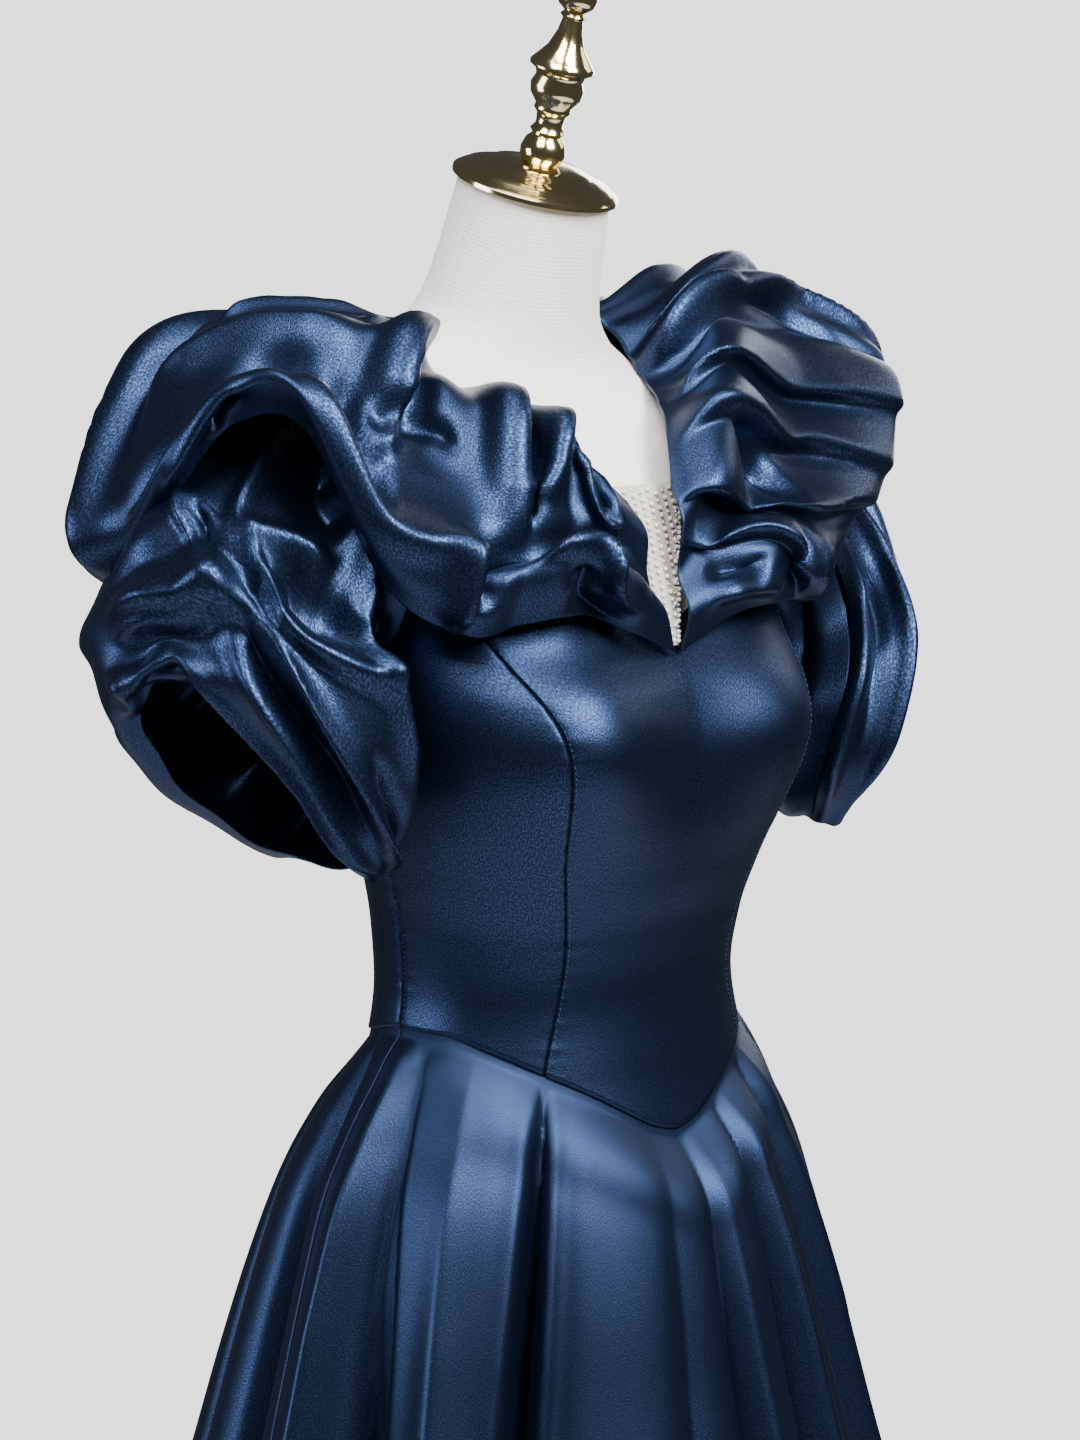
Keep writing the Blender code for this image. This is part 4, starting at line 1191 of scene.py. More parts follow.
COLLAR_RIGHT = collar_sections(
    (0.00, 22, 84, 298, 21, 99, 280, 18, 96, 257, 13, 107, 235, 3, 103, 213),
    (0.08, 42, 62, 326, 47, 92, 306, 44, 96, 280, 45, 116, 255, 44, 110, 228),
    (0.17, 58, 30, 350, 72, 74, 342, 80, 86, 302, 86, 116, 272, 88, 106, 240),
    (0.28, 80, -4, 362, 108, 46, 356, 128, 62, 318, 148, 94, 268, 150, 84, 234),
    (0.37, 82, -18, 374, 128, 18, 386, 162, 34, 346, 202, 72, 292, 192, 66, 264),
    (0.45, 81, -30, 387, 150, -6, 398, 188, 8, 370, 234, 45, 370, 220, 36, 346),
    (0.53, 77, -41, 397, 165, -35, 402, 204, -22, 376, 250, 10, 373, 238, 0, 350),
    (0.62, 72, -50, 400, 175, -64, 404, 212, -56, 372, 268, -24, 338, 254, -30, 314),
    (0.71, 66, -62, 399, 185, -90, 402, 220, -94, 362, 266, -66, 303, 252, -64, 276),
    (0.80, 56, -76, 395, 176, -114, 390, 214, -124, 344, 254, -118, 274, 240, -106, 248),
    (0.90, 34, -88, 390, 104, -126, 378, 132, -134, 318, 160, -144, 266, 154, -130, 236),
    (1.00, 0.6, -96, 382, 0.6, -124, 366, 0.6, -126, 306, 0.6, -138, 256, 0.6, -127, 220),
)


class Fold(NamedTuple):
    """A main fold of the collar, as the solid has it: a ridge, or a groove where its height is below zero."""

    along: float
    across: float
    to_along: float
    to_across: float
    half_width: float
    height: float


BACK_COLLAR_FOLDS = (
    Fold(0.720, -0.05, 0.740, 0.90, 0.015, -0.008),
    Fold(0.780, -0.05, 0.800, 0.95, 0.016, 0.009),
    Fold(0.850, -0.05, 0.860, 0.95, 0.014, -0.008),
    Fold(0.915, -0.05, 0.920, 0.95, 0.016, 0.008),
)
RIGHT_COLLAR_FOLDS = (
    Fold(0.245, -0.10, 0.235, 0.68, 0.015, 0.010),
    Fold(0.205, -0.10, 0.205, 0.70, 0.010, -0.010),
    Fold(0.165, -0.10, 0.185, 0.66, 0.013, 0.010),
    Fold(0.120, -0.05, 0.160, 0.66, 0.011, -0.007),
    Fold(0.070, 0.05, 0.095, 0.60, 0.012, 0.007),
    Fold(0.280, 0.67, -0.02, 0.60, 0.010, -0.010),
    Fold(0.285, 0.66, 0.265, 1.10, 0.012, 0.008),
    Fold(0.235, 0.66, 0.225, 1.10, 0.010, -0.008),
    Fold(0.205, 0.80, 0.050, 0.80, 0.014, 0.008),
    Fold(0.390, 0.00, 0.380, 0.50, 0.014, 0.009),
    Fold(0.345, 0.05, 0.330, 0.56, 0.013, -0.010),
) + BACK_COLLAR_FOLDS
LEFT_COLLAR_FOLDS = (
    Fold(-0.02, 0.26, 0.24, 0.74, 0.015, -0.008),
    Fold(0.00, -0.05, 0.28, 0.62, 0.018, 0.009),
    Fold(0.15, -0.05, 0.38, 0.62, 0.016, -0.010),
    Fold(0.26, -0.05, 0.46, 0.66, 0.018, 0.010),
    Fold(0.36, -0.05, 0.54, 0.66, 0.015, -0.008),
) + BACK_COLLAR_FOLDS


RIGHT_COLLAR_CREASES = (
    Crease(
        ((0.230, 0.02), (0.232, 0.30), (0.230, 0.48), (0.222, 0.66)),
        0.0166, 0.0135, steep=-0.75, lean=-0.5,
    ),
    Crease(((0.208, 0.10), (0.208, 0.35), (0.214, 0.60)), 0.0064, -0.0121),
    Crease(((0.160, 0.08), (0.170, 0.31), (0.182, 0.45), (0.215, 0.66)), 0.0069, 0.0121, steep=0.3),
    Crease(((0.165, 0.20), (0.142, 0.24), (0.120, 0.34)), 0.0074, 0.0068),
    Crease(((0.118, 0.12), (0.116, 0.36), (0.100, 0.49), (0.082, 0.42), (0.070, 0.22)), 0.0055, 0.0081),
    Crease(((0.094, 0.08), (0.094, 0.26), (0.094, 0.42)), 0.0069, -0.0135),
    Crease(((0.300, 0.72), (0.230, 0.71), (0.140, 0.62), (0.040, 0.45)), 0.0092, -0.0162, steep=0.4),
    Crease(((0.282, 0.66), (0.290, 0.82), (0.290, 1.02)), 0.0110, 0.0135, steep=-0.6, lean=-0.4),
    Crease(((0.252, 0.70), (0.268, 0.79), (0.270, 0.92)), 0.0074, -0.0108),
    Crease(
        ((0.235, 0.73), (0.190, 0.74), (0.150, 0.74), (0.128, 0.86), (0.060, 0.90)),
        0.0092, 0.0121, steep=0.5,
    ),
    Crease(((0.200, 0.84), (0.165, 0.84), (0.152, 0.95), (0.070, 1.00)), 0.0083, -0.0135),
    Crease(
        ((0.480, 0.60), (0.430, 0.72), (0.370, 0.75), (0.310, 0.73), (0.275, 0.74)),
        0.0129, 0.0121, steep=0.4,
    ),
    Crease(
        ((0.740, 0.84), (0.640, 0.74), (0.560, 0.62), (0.500, 0.50), (0.420, 0.50)),
        0.0120, -0.0175, steep=0.3,
    ),
    Crease(
        ((0.740, 0.55), (0.660, 0.44), (0.570, 0.36), (0.480, 0.33), (0.385, 0.30)),
        0.0202, 0.0149, steep=-0.4,
    ),
    Crease(((0.388, 0.04), (0.378, 0.30), (0.362, 0.52)), 0.0184, 0.0162, steep=-0.7, lean=-0.4),
    Crease(((0.352, 0.10), (0.345, 0.32), (0.350, 0.50)), 0.0110, -0.0095),
    Crease(((0.405, 0.46), (0.386, 0.55), (0.364, 0.53), (0.366, 0.44)), 0.0055, 0.0081),
    Crease(((0.364, 0.50), (0.325, 0.43), (0.285, 0.42)), 0.0074, -0.0081, steep=0.4),
    Crease(((0.450, 0.46), (0.412, 0.55), (0.380, 0.64), (0.350, 0.66)), 0.0110, -0.0175),
    Crease(((0.650, 0.95), (0.600, 0.86), (0.545, 0.82), (0.490, 0.84)), 0.0092, 0.0081, steep=-0.4),
    Crease(((0.560, 0.98), (0.548, 0.90), (0.520, 0.86)), 0.0055, -0.0108),
    Crease(((0.780, 0.06), (0.780, 0.44), (0.764, 0.68), (0.778, 0.98)), 0.0147, 0.0135, steep=0.5, lean=0.3),
    Crease(((0.700, 0.04), (0.712, 0.26), (0.704, 0.50)), 0.0120, -0.0108),
    Crease(((0.628, 0.02), (0.640, 0.18), (0.648, 0.34)), 0.0110, 0.0081, steep=0.4),
    Crease(((0.540, 0.02), (0.548, 0.14), (0.540, 0.27)), 0.0092, -0.0068),
    Crease(((0.462, 0.02), (0.455, 0.12), (0.448, 0.24)), 0.0092, 0.0068),
    Crease(((0.822, 0.05), (0.832, 0.42), (0.818, 0.86)), 0.0083, -0.0135),
    Crease(((0.872, 0.06), (0.868, 0.36), (0.890, 0.68), (0.884, 0.98)), 0.0129, 0.0135, steep=0.6, lean=0.4),
    Crease(((0.918, 0.30), (0.925, 0.56), (0.912, 0.90)), 0.0074, -0.0108),
    Crease(((0.950, 0.05), (0.958, 0.34), (0.950, 0.72)), 0.0092, 0.0108, steep=0.5),
)
LEFT_COLLAR_CREASES = (
    Crease(
        ((-0.01, 0.30), (0.060, 0.54), (0.125, 0.68), (0.182, 0.86), (0.200, 1.02)),
        0.016, 0.015, steep=-0.8, lean=-0.6,
    ),
    Crease(((0.168, 0.70), (0.176, 0.80), (0.168, 0.96)), 0.007, -0.013),
    Crease(((0.215, 0.74), (0.205, 0.88), (0.215, 1.02)), 0.010, 0.010, steep=-0.5),
    Crease(
        ((-0.01, 0.06), (0.055, 0.28), (0.125, 0.48), (0.200, 0.64), (0.300, 0.70), (0.370, 0.95)),
        0.018, 0.016, steep=-0.8, lean=-0.6,
    ),
    Crease(((0.120, 0.32), (0.180, 0.45), (0.225, 0.60)), 0.014, -0.017),
    Crease(
        ((0.050, 0.04), (0.130, 0.22), (0.230, 0.42), (0.320, 0.58), (0.400, 0.95)),
        0.018, 0.015, steep=-0.75, lean=-0.5,
    ),
    Crease(
        ((0.150, 0.03), (0.220, 0.17), (0.310, 0.36), (0.380, 0.58), (0.460, 0.97)),
        0.016, 0.014, steep=-0.75, lean=-0.5,
    ),
    Crease(((0.215, 0.02), (0.290, 0.15), (0.370, 0.32), (0.450, 0.58), (0.520, 0.95)), 0.011, -0.013),
    Crease(
        ((0.265, 0.02), (0.335, 0.14), (0.430, 0.34), (0.520, 0.62), (0.580, 0.98)),
        0.018, 0.015, steep=-0.7, lean=-0.4,
    ),
    Crease(((0.400, 0.24), (0.440, 0.42), (0.470, 0.62)), 0.008, -0.009),
    Crease(
        ((0.360, 0.02), (0.430, 0.16), (0.530, 0.38), (0.610, 0.68), (0.660, 1.00)),
        0.019, 0.014, steep=-0.6, lean=-0.3,
    ),
    Crease(((0.455, 0.02), (0.520, 0.18), (0.600, 0.40), (0.680, 0.76)), 0.012, -0.012),
    Crease(((0.540, 0.02), (0.610, 0.22), (0.680, 0.48), (0.730, 0.88)), 0.016, 0.011, steep=-0.5),
    Crease(((0.020, 0.78), (0.090, 0.88), (0.160, 0.95)), 0.012, 0.008, steep=-0.4),
    Crease(((0.030, 0.60), (0.075, 0.74), (0.110, 0.86)), 0.010, -0.009),
    Crease(((0.250, 0.86), (0.320, 0.88), (0.400, 0.96)), 0.012, -0.009),
    Crease(((0.690, 0.04), (0.712, 0.30), (0.735, 0.60), (0.728, 0.94)), 0.013, -0.012),
    Crease(((0.770, 0.05), (0.786, 0.40), (0.775, 0.70), (0.792, 0.98)), 0.016, 0.013, steep=0.6, lean=0.4),
    Crease(((0.830, 0.06), (0.842, 0.44), (0.832, 0.88)), 0.009, -0.012),
    Crease(((0.880, 0.05), (0.874, 0.36), (0.896, 0.70), (0.890, 0.98)), 0.014, 0.012, steep=0.6, lean=0.4),
    Crease(((0.955, 0.05), (0.950, 0.36), (0.962, 0.74)), 0.010, 0.009, steep=0.5),
)


@dataclass
class Collar:
    """One half of the pleated collar, swagged from the V over the shoulder to the centre back."""

    side: Side
    figure: Figure
    satin: Material
    sections: tuple[CollarSection, ...]
    folds: tuple[Fold, ...]
    creases: tuple[Crease, ...]
    length: float = 0.60
    depth: float = 0.18
    across_knots: tuple[float, ...] = (0.0, 0.27, 0.50, 0.78, 1.0)
    fold_share: float = 0.45
    columns: int = 240
    rows: int = 96
    cut: tuple[float, float] = (0.70, 0.22)

    def line(self, along: Array, across: Array) -> Array:
        """Points of the collar's under side before its folds, with x growing outwards.

        Args:
            along: Shares of the length, from the V to the centre back.
            across: Shares of the depth, from the neckline seam to the turned edge.

        Returns:
            Points (x, forward, up).
        """
        knots = [section.along for section in self.sections]
        start = np.array([section[1:] for section in self.sections]).reshape(len(knots), 15)
        ribs = smooth(along, knots, start, overshoot=True).reshape(*along.shape, 5, 3)
        rows, columns = along.shape
        points = np.empty((rows, columns, 3))
        for column in range(columns):
            points[:, column] = smooth(across[:, column], self.across_knots, ribs[0, column], overshoot=True)
        return points

    def surface(self, along: Array, across: Array) -> Array:
        """Points of the collar's under side, folded and creased.

        Args:
            along: Shares of the length.
            across: Shares of the depth.

        Returns:
            Points (x, forward, up).
        """
        points = self.line(along, across)
        normal = np.cross(np.gradient(points, axis=1), np.gradient(points, axis=0))
        normal /= np.linalg.norm(normal, axis=-1, keepdims=True)
        height = np.zeros(along.shape)
        length, depth = self.length, self.depth
        for fold in self.folds:
            run = np.array([(fold.to_along - fold.along) * length, (fold.to_across - fold.across) * depth])
            offset = np.stack([(along - fold.along) * length, (across - fold.across) * depth], axis=-1)
            share = np.clip(offset @ run / (run @ run), 0, 1)
            distance = np.linalg.norm(offset - share[..., None] * run, axis=-1)
            ends = np.clip(5 * share, 0, 1) * np.clip(5 * (1 - share), 0, 1)
            height += self.fold_share * fold.height * ends * np.exp(-((distance / fold.half_width) ** 2))
        points = points + normal * height[..., None]
        points = creased(points, np.stack([along, across], axis=-1), self.creases, (length, depth))
        clearance = CLEAR_OF_FORM + (CLEAR_OF_BODICE - CLEAR_OF_FORM) * np.clip(across * 4, 0, 1)
        return self.figure.kept_clear(points, clearance) * (self.side.value, 1, 1)

    def build(self) -> None:
        """Build the collar half."""
        node = f"collar_{self.side.word}"
        sheet = Sheet(node + "_satin", *self.cut, self.columns, self.rows, turned=self.side is Side.LEFT)
        made = dressed(sheet.walled(self.surface), self.satin, [node])


class SleeveRing(NamedTuple):
    """One ring of the balloon sleeve: its centre, the way its tube runs there, and its two half sizes."""

    x: float
    forward: float
    up: float
    pitch: float
    yaw: float
    roll: float
    wide: float
    tall: float


SLEEVE = (
    SleeveRing(0.158, -0.010, 0.274, 5.0, 0.0, 0.0, 0.062, 0.064),
    SleeveRing(0.184, -0.018, 0.266, 20.0, 5.0, 0.0, 0.066, 0.056),
    SleeveRing(0.207, -0.022, 0.238, 45.0, 10.0, -6.0, 0.074, 0.062),
    SleeveRing(0.216, -0.016, 0.208, 50.0, 15.0, -18.0, 0.096, 0.076),
    SleeveRing(0.222, -0.010, 0.177, 45.0, 20.0, -30.0, 0.095, 0.074),
    SleeveRing(0.228, -0.004, 0.160, 35.0, 28.0, -38.0, 0.087, 0.060),
    SleeveRing(0.224, 0.000, 0.156, 25.0, 34.0, -43.0, 0.077, 0.044),
)


HIDDEN_SLEEVE_CREASES = (
    Crease(((0.500, 0.06), (0.520, 0.35), (0.485, 0.66)), 0.014, 0.009, steep=0.4),
    Crease(((0.560, 0.04), (0.590, 0.30), (0.570, 0.62), (0.600, 0.92)), 0.012, -0.009),
    Crease(((0.640, 0.05), (0.670, 0.38), (0.645, 0.78)), 0.015, 0.010, steep=-0.4),
    Crease(((0.735, 0.08), (0.755, 0.40), (0.740, 0.80)), 0.012, -0.008),
    Crease(((0.800, 0.05), (0.835, 0.35), (0.815, 0.66), (0.840, 0.94)), 0.014, 0.009, steep=0.4),
    Crease(((0.890, 0.06), (0.905, 0.34), (0.885, 0.70)), 0.011, -0.008),
)
RIGHT_SLEEVE_CREASES = HIDDEN_SLEEVE_CREASES + (
    Crease(
        ((0.285, 0.04), (0.250, 0.14), (0.222, 0.25), (0.230, 0.44)),
        0.011, 0.013, steep=0.5, lean=0.3, sharp=0.4,
    ),
    Crease(((0.232, 0.43), (0.270, 0.49), (0.325, 0.55), (0.440, 0.59)), 0.010, 0.013, steep=-0.3, sharp=0.4),
    Crease(((0.238, 0.47), (0.275, 0.53), (0.330, 0.60), (0.450, 0.65)), 0.008, 0.009, sharp=0.4),
    Crease(((0.262, 0.40), (0.330, 0.49), (0.430, 0.53)), 0.010, -0.007),
    Crease(((0.258, 0.34), (0.264, 0.40), (0.290, 0.44)), 0.009, -0.013),
    Crease(((0.300, 0.32), (0.298, 0.39), (0.262, 0.45)), 0.008, 0.007, steep=0.4),
    Crease(((0.250, 0.50), (0.300, 0.60), (0.390, 0.70), (0.490, 0.88)), 0.014, -0.013, sharp=0.3),
    Crease(((0.330, 0.70), (0.410, 0.78), (0.500, 0.94)), 0.018, 0.011),
    Crease(
        ((0.228, 0.43), (0.200, 0.34), (0.150, 0.29), (0.070, 0.26)),
        0.013, 0.014, steep=-0.5, lean=-0.3, sharp=0.3,
    ),
    Crease(((0.210, 0.06), (0.160, 0.17), (0.085, 0.19)), 0.015, -0.016),
    Crease(((0.226, 0.43), (0.194, 0.41), (0.198, 0.47), (0.224, 0.53)), 0.006, 0.008, sharp=0.3),
    Crease(((0.224, 0.44), (0.212, 0.48), (0.220, 0.51)), 0.005, -0.005),
    Crease(((0.222, 0.46), (0.165, 0.48), (0.095, 0.48), (0.015, 0.42)), 0.013, 0.013, steep=0.5, sharp=0.3),
    Crease(((0.180, 0.38), (0.115, 0.385), (0.045, 0.34)), 0.017, -0.014),
    Crease(((0.085, 0.03), (0.026, 0.24), (0.060, 0.43), (0.040, 0.66)), 0.016, 0.013, steep=-0.6, sharp=0.3),
    Crease(((0.236, 0.48), (0.244, 0.60), (0.205, 0.70), (0.140, 0.86)), 0.012, -0.014, sharp=0.3),
    Crease(((0.226, 0.47), (0.190, 0.60), (0.130, 0.80), (0.040, 1.00)), 0.013, 0.014, steep=0.4, sharp=0.5),
    Crease(((0.246, 0.51), (0.262, 0.66), (0.222, 0.82), (0.130, 0.99)), 0.011, 0.010, steep=-0.3, sharp=0.4),
    Crease(((0.140, 0.62), (0.100, 0.76), (0.030, 0.90)), 0.012, -0.010),
    Crease(((0.390, 0.78), (0.310, 0.91), (0.220, 0.95), (0.100, 0.96)), 0.011, 0.009),
    Crease(((0.350, 0.66), (0.390, 0.82), (0.470, 0.93)), 0.010, -0.012),
    Crease(((0.440, 0.78), (0.500, 0.90), (0.570, 0.99)), 0.012, 0.009, sharp=0.4),
    Crease(((0.335, 0.08), (0.342, 0.20), (0.305, 0.27), (0.286, 0.17)), 0.007, 0.008, sharp=0.3),
    Crease(((0.312, 0.08), (0.316, 0.21)), 0.008, -0.010),
    Crease(((0.268, 0.02), (0.280, 0.10), (0.306, 0.07)), 0.006, 0.007),
    Crease(((0.390, 0.06), (0.405, 0.24), (0.380, 0.42)), 0.014, -0.008),
    Crease(((0.450, 0.06), (0.465, 0.28), (0.440, 0.50)), 0.014, 0.008, steep=-0.3),
)
LEFT_SLEEVE_CREASES = HIDDEN_SLEEVE_CREASES + (
    Crease(((0.270, 0.04), (0.250, 0.20), (0.230, 0.50)), 0.012, 0.011, steep=0.4),
    Crease(((0.210, 0.06), (0.190, 0.28), (0.180, 0.56)), 0.012, -0.012),
    Crease(((0.150, 0.05), (0.140, 0.30), (0.125, 0.62), (0.135, 0.92)), 0.013, 0.012, steep=-0.5, lean=-0.3),
    Crease(((0.090, 0.06), (0.085, 0.34), (0.070, 0.72)), 0.010, -0.011),
    Crease(((0.035, 0.05), (0.030, 0.30), (0.020, 0.62), (0.035, 0.90)), 0.012, 0.010, steep=0.4),
    Crease(((0.330, 0.05), (0.320, 0.26), (0.335, 0.58)), 0.012, -0.010),
    Crease(((0.400, 0.06), (0.385, 0.32), (0.405, 0.70)), 0.015, 0.010, steep=-0.4),
    Crease(((0.250, 0.56), (0.220, 0.74), (0.230, 0.95)), 0.012, -0.009),
    Crease(((0.300, 0.62), (0.290, 0.78), (0.310, 0.96)), 0.012, 0.009),
)


@dataclass
class Sleeve:
    """A balloon sleeve, gathered into the armhole and the open cuff."""

    side: Side
    figure: Figure
    satin: Material
    creases: tuple[Crease, ...]
    hang: Spot
    length: float = 0.26
    girth: float = 0.52
    gathers: int = 9
    gather_depth: float = 0.0015
    droop: float = 0.056
    droop_at: float = 0.18
    droop_width: float = 0.135
    droop_growth: float = 1.4
    puff: float = 0.038
    puff_at: tuple[float, float] = (0.30, 0.36)
    puff_width: tuple[float, float] = (0.13, 0.21)
    columns: int = 200
    rows: int = 100
    cut: tuple[float, float] = (0.50, 0.225)

    def line(self, around: Array, along: Array) -> Array:
        """Points of the sleeve's inner face before its creases, with x growing outwards.

        Args:
            around: Turns round the tube, from its forward side over the top.
            along: From 0 at the armhole to 1 at the cuff.

        Returns:
            Points (x, forward, up).
        """
        table = np.array(SLEEVE)
        rings = smooth(along, np.linspace(0, 1, len(SLEEVE)), table, overshoot=True)
        x, forward, up, pitch, yaw, roll, wide, tall = np.moveaxis(rings, -1, 0)
        pitch, yaw, roll = np.radians(pitch), np.radians(yaw), np.radians(roll)
        flat = np.stack([-np.sin(yaw), np.cos(yaw), 0 * yaw], axis=-1)
        raised = np.stack([np.sin(pitch) * np.cos(yaw), np.sin(pitch) * np.sin(yaw), np.cos(pitch)], axis=-1)
        broad = np.cos(roll)[..., None] * flat + np.sin(roll)[..., None] * raised
        high = np.cos(roll)[..., None] * raised - np.sin(roll)[..., None] * flat
        turn = 2 * np.pi * around
        gather = self.gather_depth * np.sin(self.gathers * turn) * np.clip(along * 2, 0, 1)
        spot = np.stack([x, forward, up], axis=-1)
        spot = spot + ((wide + gather) * np.cos(turn))[..., None] * broad
        spot = spot + ((tall + gather) * np.sin(turn))[..., None] * high
        wrapped = (around + 0.5) % 1 - 0.5
        lowered = np.exp(-(((wrapped - self.droop_at) / self.droop_width) ** 2)) * along**self.droop_growth
        beside = (wrapped - self.puff_at[0]) / self.puff_width[0]
        beyond = (along - self.puff_at[1]) / self.puff_width[1]
        spot[..., 2] -= self.droop * lowered
        spot[..., 2] += self.puff * np.exp(-(beside**2) - beyond**2)
        return spot

    def surface(self, around: Array, along: Array) -> Array:
        """Points of the sleeve's inner face, creased, clear of the bodice and landed on the armhole.

        Args:
            around: Turns round the tube.
            along: From 0 at the armhole to 1 at the cuff.

        Returns:
            Points (x, forward, up).
        """
        points = self.line(around, along) + np.clip(along * 3, 0, 1)[..., None] * self.hang
        points = creased(points, np.stack([around, along], axis=-1), self.creases, (self.girth, self.length))
        points = self.figure.kept_clear(points, np.full(along.shape, CLEAR_OF_BODICE))
        points[0] = self.figure.landed(points[0], ON_BODICE)
        return points * (self.side.value, 1, 1)

    def build(self) -> None:
        """Build the sleeve."""
        node, turned = f"sleeve_{self.side.word}", self.side is Side.RIGHT
        sheet = Sheet(node + "_satin", *self.cut, self.columns, self.rows, tube=True, turned=turned)
        made = dressed(sheet.walled(self.surface), self.satin, [node])


class SkirtRing(NamedTuple):
    """How far the skirt stands out at one level, in front and behind."""

    up: float
    front: float
    back: float
    side: float


SKIRT = (
    SkirtRing(-0.030, 0.100, 0.094, 0.122),
    SkirtRing(-0.060, 0.112, 0.120, 0.146),
    SkirtRing(-0.100, 0.128, 0.144, 0.166),
    SkirtRing(-0.150, 0.142, 0.166, 0.180),
    SkirtRing(-0.215, 0.156, 0.188, 0.196),
    SkirtRing(-0.280, 0.172, 0.206, 0.212),
    SkirtRing(-0.600, 0.272, 0.292, 0.300),
    SkirtRing(-1.048, 0.408, 0.408, 0.412),
)


class SkirtFold(NamedTuple):
    """One fold of the skirt: a ridge, or a groove where its depth is below zero."""

    waist_angle: float
    hem_angle: float
    half_angle: float
    depth: float

    def spread(self, bearing: Array, drift: Array) -> Array:
        """How many half angles each bearing lies from the fold's middle.

        Args:
            bearing: Angles round the axis.
            drift: Shares of the way from the waist angle to the hem angle.

        Returns:
            Half angles, none below zero.
        """
        centre = self.waist_angle + (self.hem_angle - self.waist_angle) * drift
        return np.abs(bearing - centre) / self.half_angle


SKIRT_FOLDS = (
    SkirtFold(-180.0, -180.0, 9.0, 0.020),
    SkirtFold(-156.0, -157.0, 8.0, 0.020),
    SkirtFold(-134.0, -135.0, 8.0, 0.018),
    SkirtFold(-112.0, -114.0, 8.0, 0.020),
    SkirtFold(-92.0, -90.0, 7.0, 0.024),
    SkirtFold(-77.0, -73.0, 6.0, -0.024),
    SkirtFold(-59.0, -66.0, 7.0, 0.018),
    SkirtFold(-43.0, -52.0, 5.0, -0.032),
    SkirtFold(-22.0, -26.0, 13.0, 0.014),
    SkirtFold(3.0, 2.0, 5.0, -0.014),
    SkirtFold(11.0, 12.0, 5.0, 0.014),
    SkirtFold(20.0, 21.0, 5.0, -0.016),
    SkirtFold(30.0, 31.0, 5.5, 0.018),
    SkirtFold(39.5, 41.0, 5.0, -0.026),
    SkirtFold(49.0, 51.0, 6.0, 0.016),
    SkirtFold(70.0, 71.0, 8.0, 0.018),
    SkirtFold(92.0, 92.0, 7.0, 0.022),
    SkirtFold(112.0, 114.0, 8.0, 0.020),
    SkirtFold(134.0, 135.0, 8.0, 0.018),
    SkirtFold(156.0, 157.0, 8.0, 0.020),
    SkirtFold(180.0, 180.0, 9.0, 0.020),
)
SKIRT_CREASES = (
    SkirtFold(-88.0, -88.0, 2.2, 0.013),
    SkirtFold(-82.0, -75.0, 2.6, -0.030),
    SkirtFold(-50.5, -60.5, 2.6, 0.008),
    SkirtFold(-46.5, -56.0, 1.5, -0.040),
    SkirtFold(-42.5, -51.5, 2.6, 0.010),
    SkirtFold(-66.0, -64.0, 3.5, 0.008),
    SkirtFold(-12.0, -18.0, 4.0, -0.005),
    SkirtFold(1.0, 3.0, 2.0, -0.012),
    SkirtFold(6.0, 8.0, 2.6, 0.006),
    SkirtFold(20.0, 21.0, 2.0, -0.022),
    SkirtFold(25.0, 26.0, 2.2, 0.010),
    SkirtFold(39.5, 41.0, 1.6, -0.030),
    SkirtFold(44.5, 47.0, 2.4, 0.010),
    SkirtFold(61.0, 62.0, 2.2, -0.016),
    SkirtFold(82.0, 81.0, 2.2, -0.020),
    SkirtFold(88.0, 88.0, 2.4, 0.010),
    SkirtFold(102.0, 103.0, 2.4, -0.020),
    SkirtFold(123.0, 125.0, 2.2, -0.018),
    SkirtFold(146.0, 147.0, 2.4, -0.020),
    SkirtFold(168.0, 169.0, 2.2, -0.016),
    SkirtFold(-102.0, -104.0, 2.4, -0.020),
    SkirtFold(-124.0, -126.0, 2.2, -0.018),
    SkirtFold(-145.0, -147.0, 2.4, -0.020),
    SkirtFold(-168.0, -168.0, 2.2, -0.016),
)


class SkirtPanel(NamedTuple):
    """A skirt panel between two angles round the figure, with its flat cut and that cut's area."""

    name: str
    start: float
    end: float
    columns: int
    cut: tuple[float, float]
    area: float


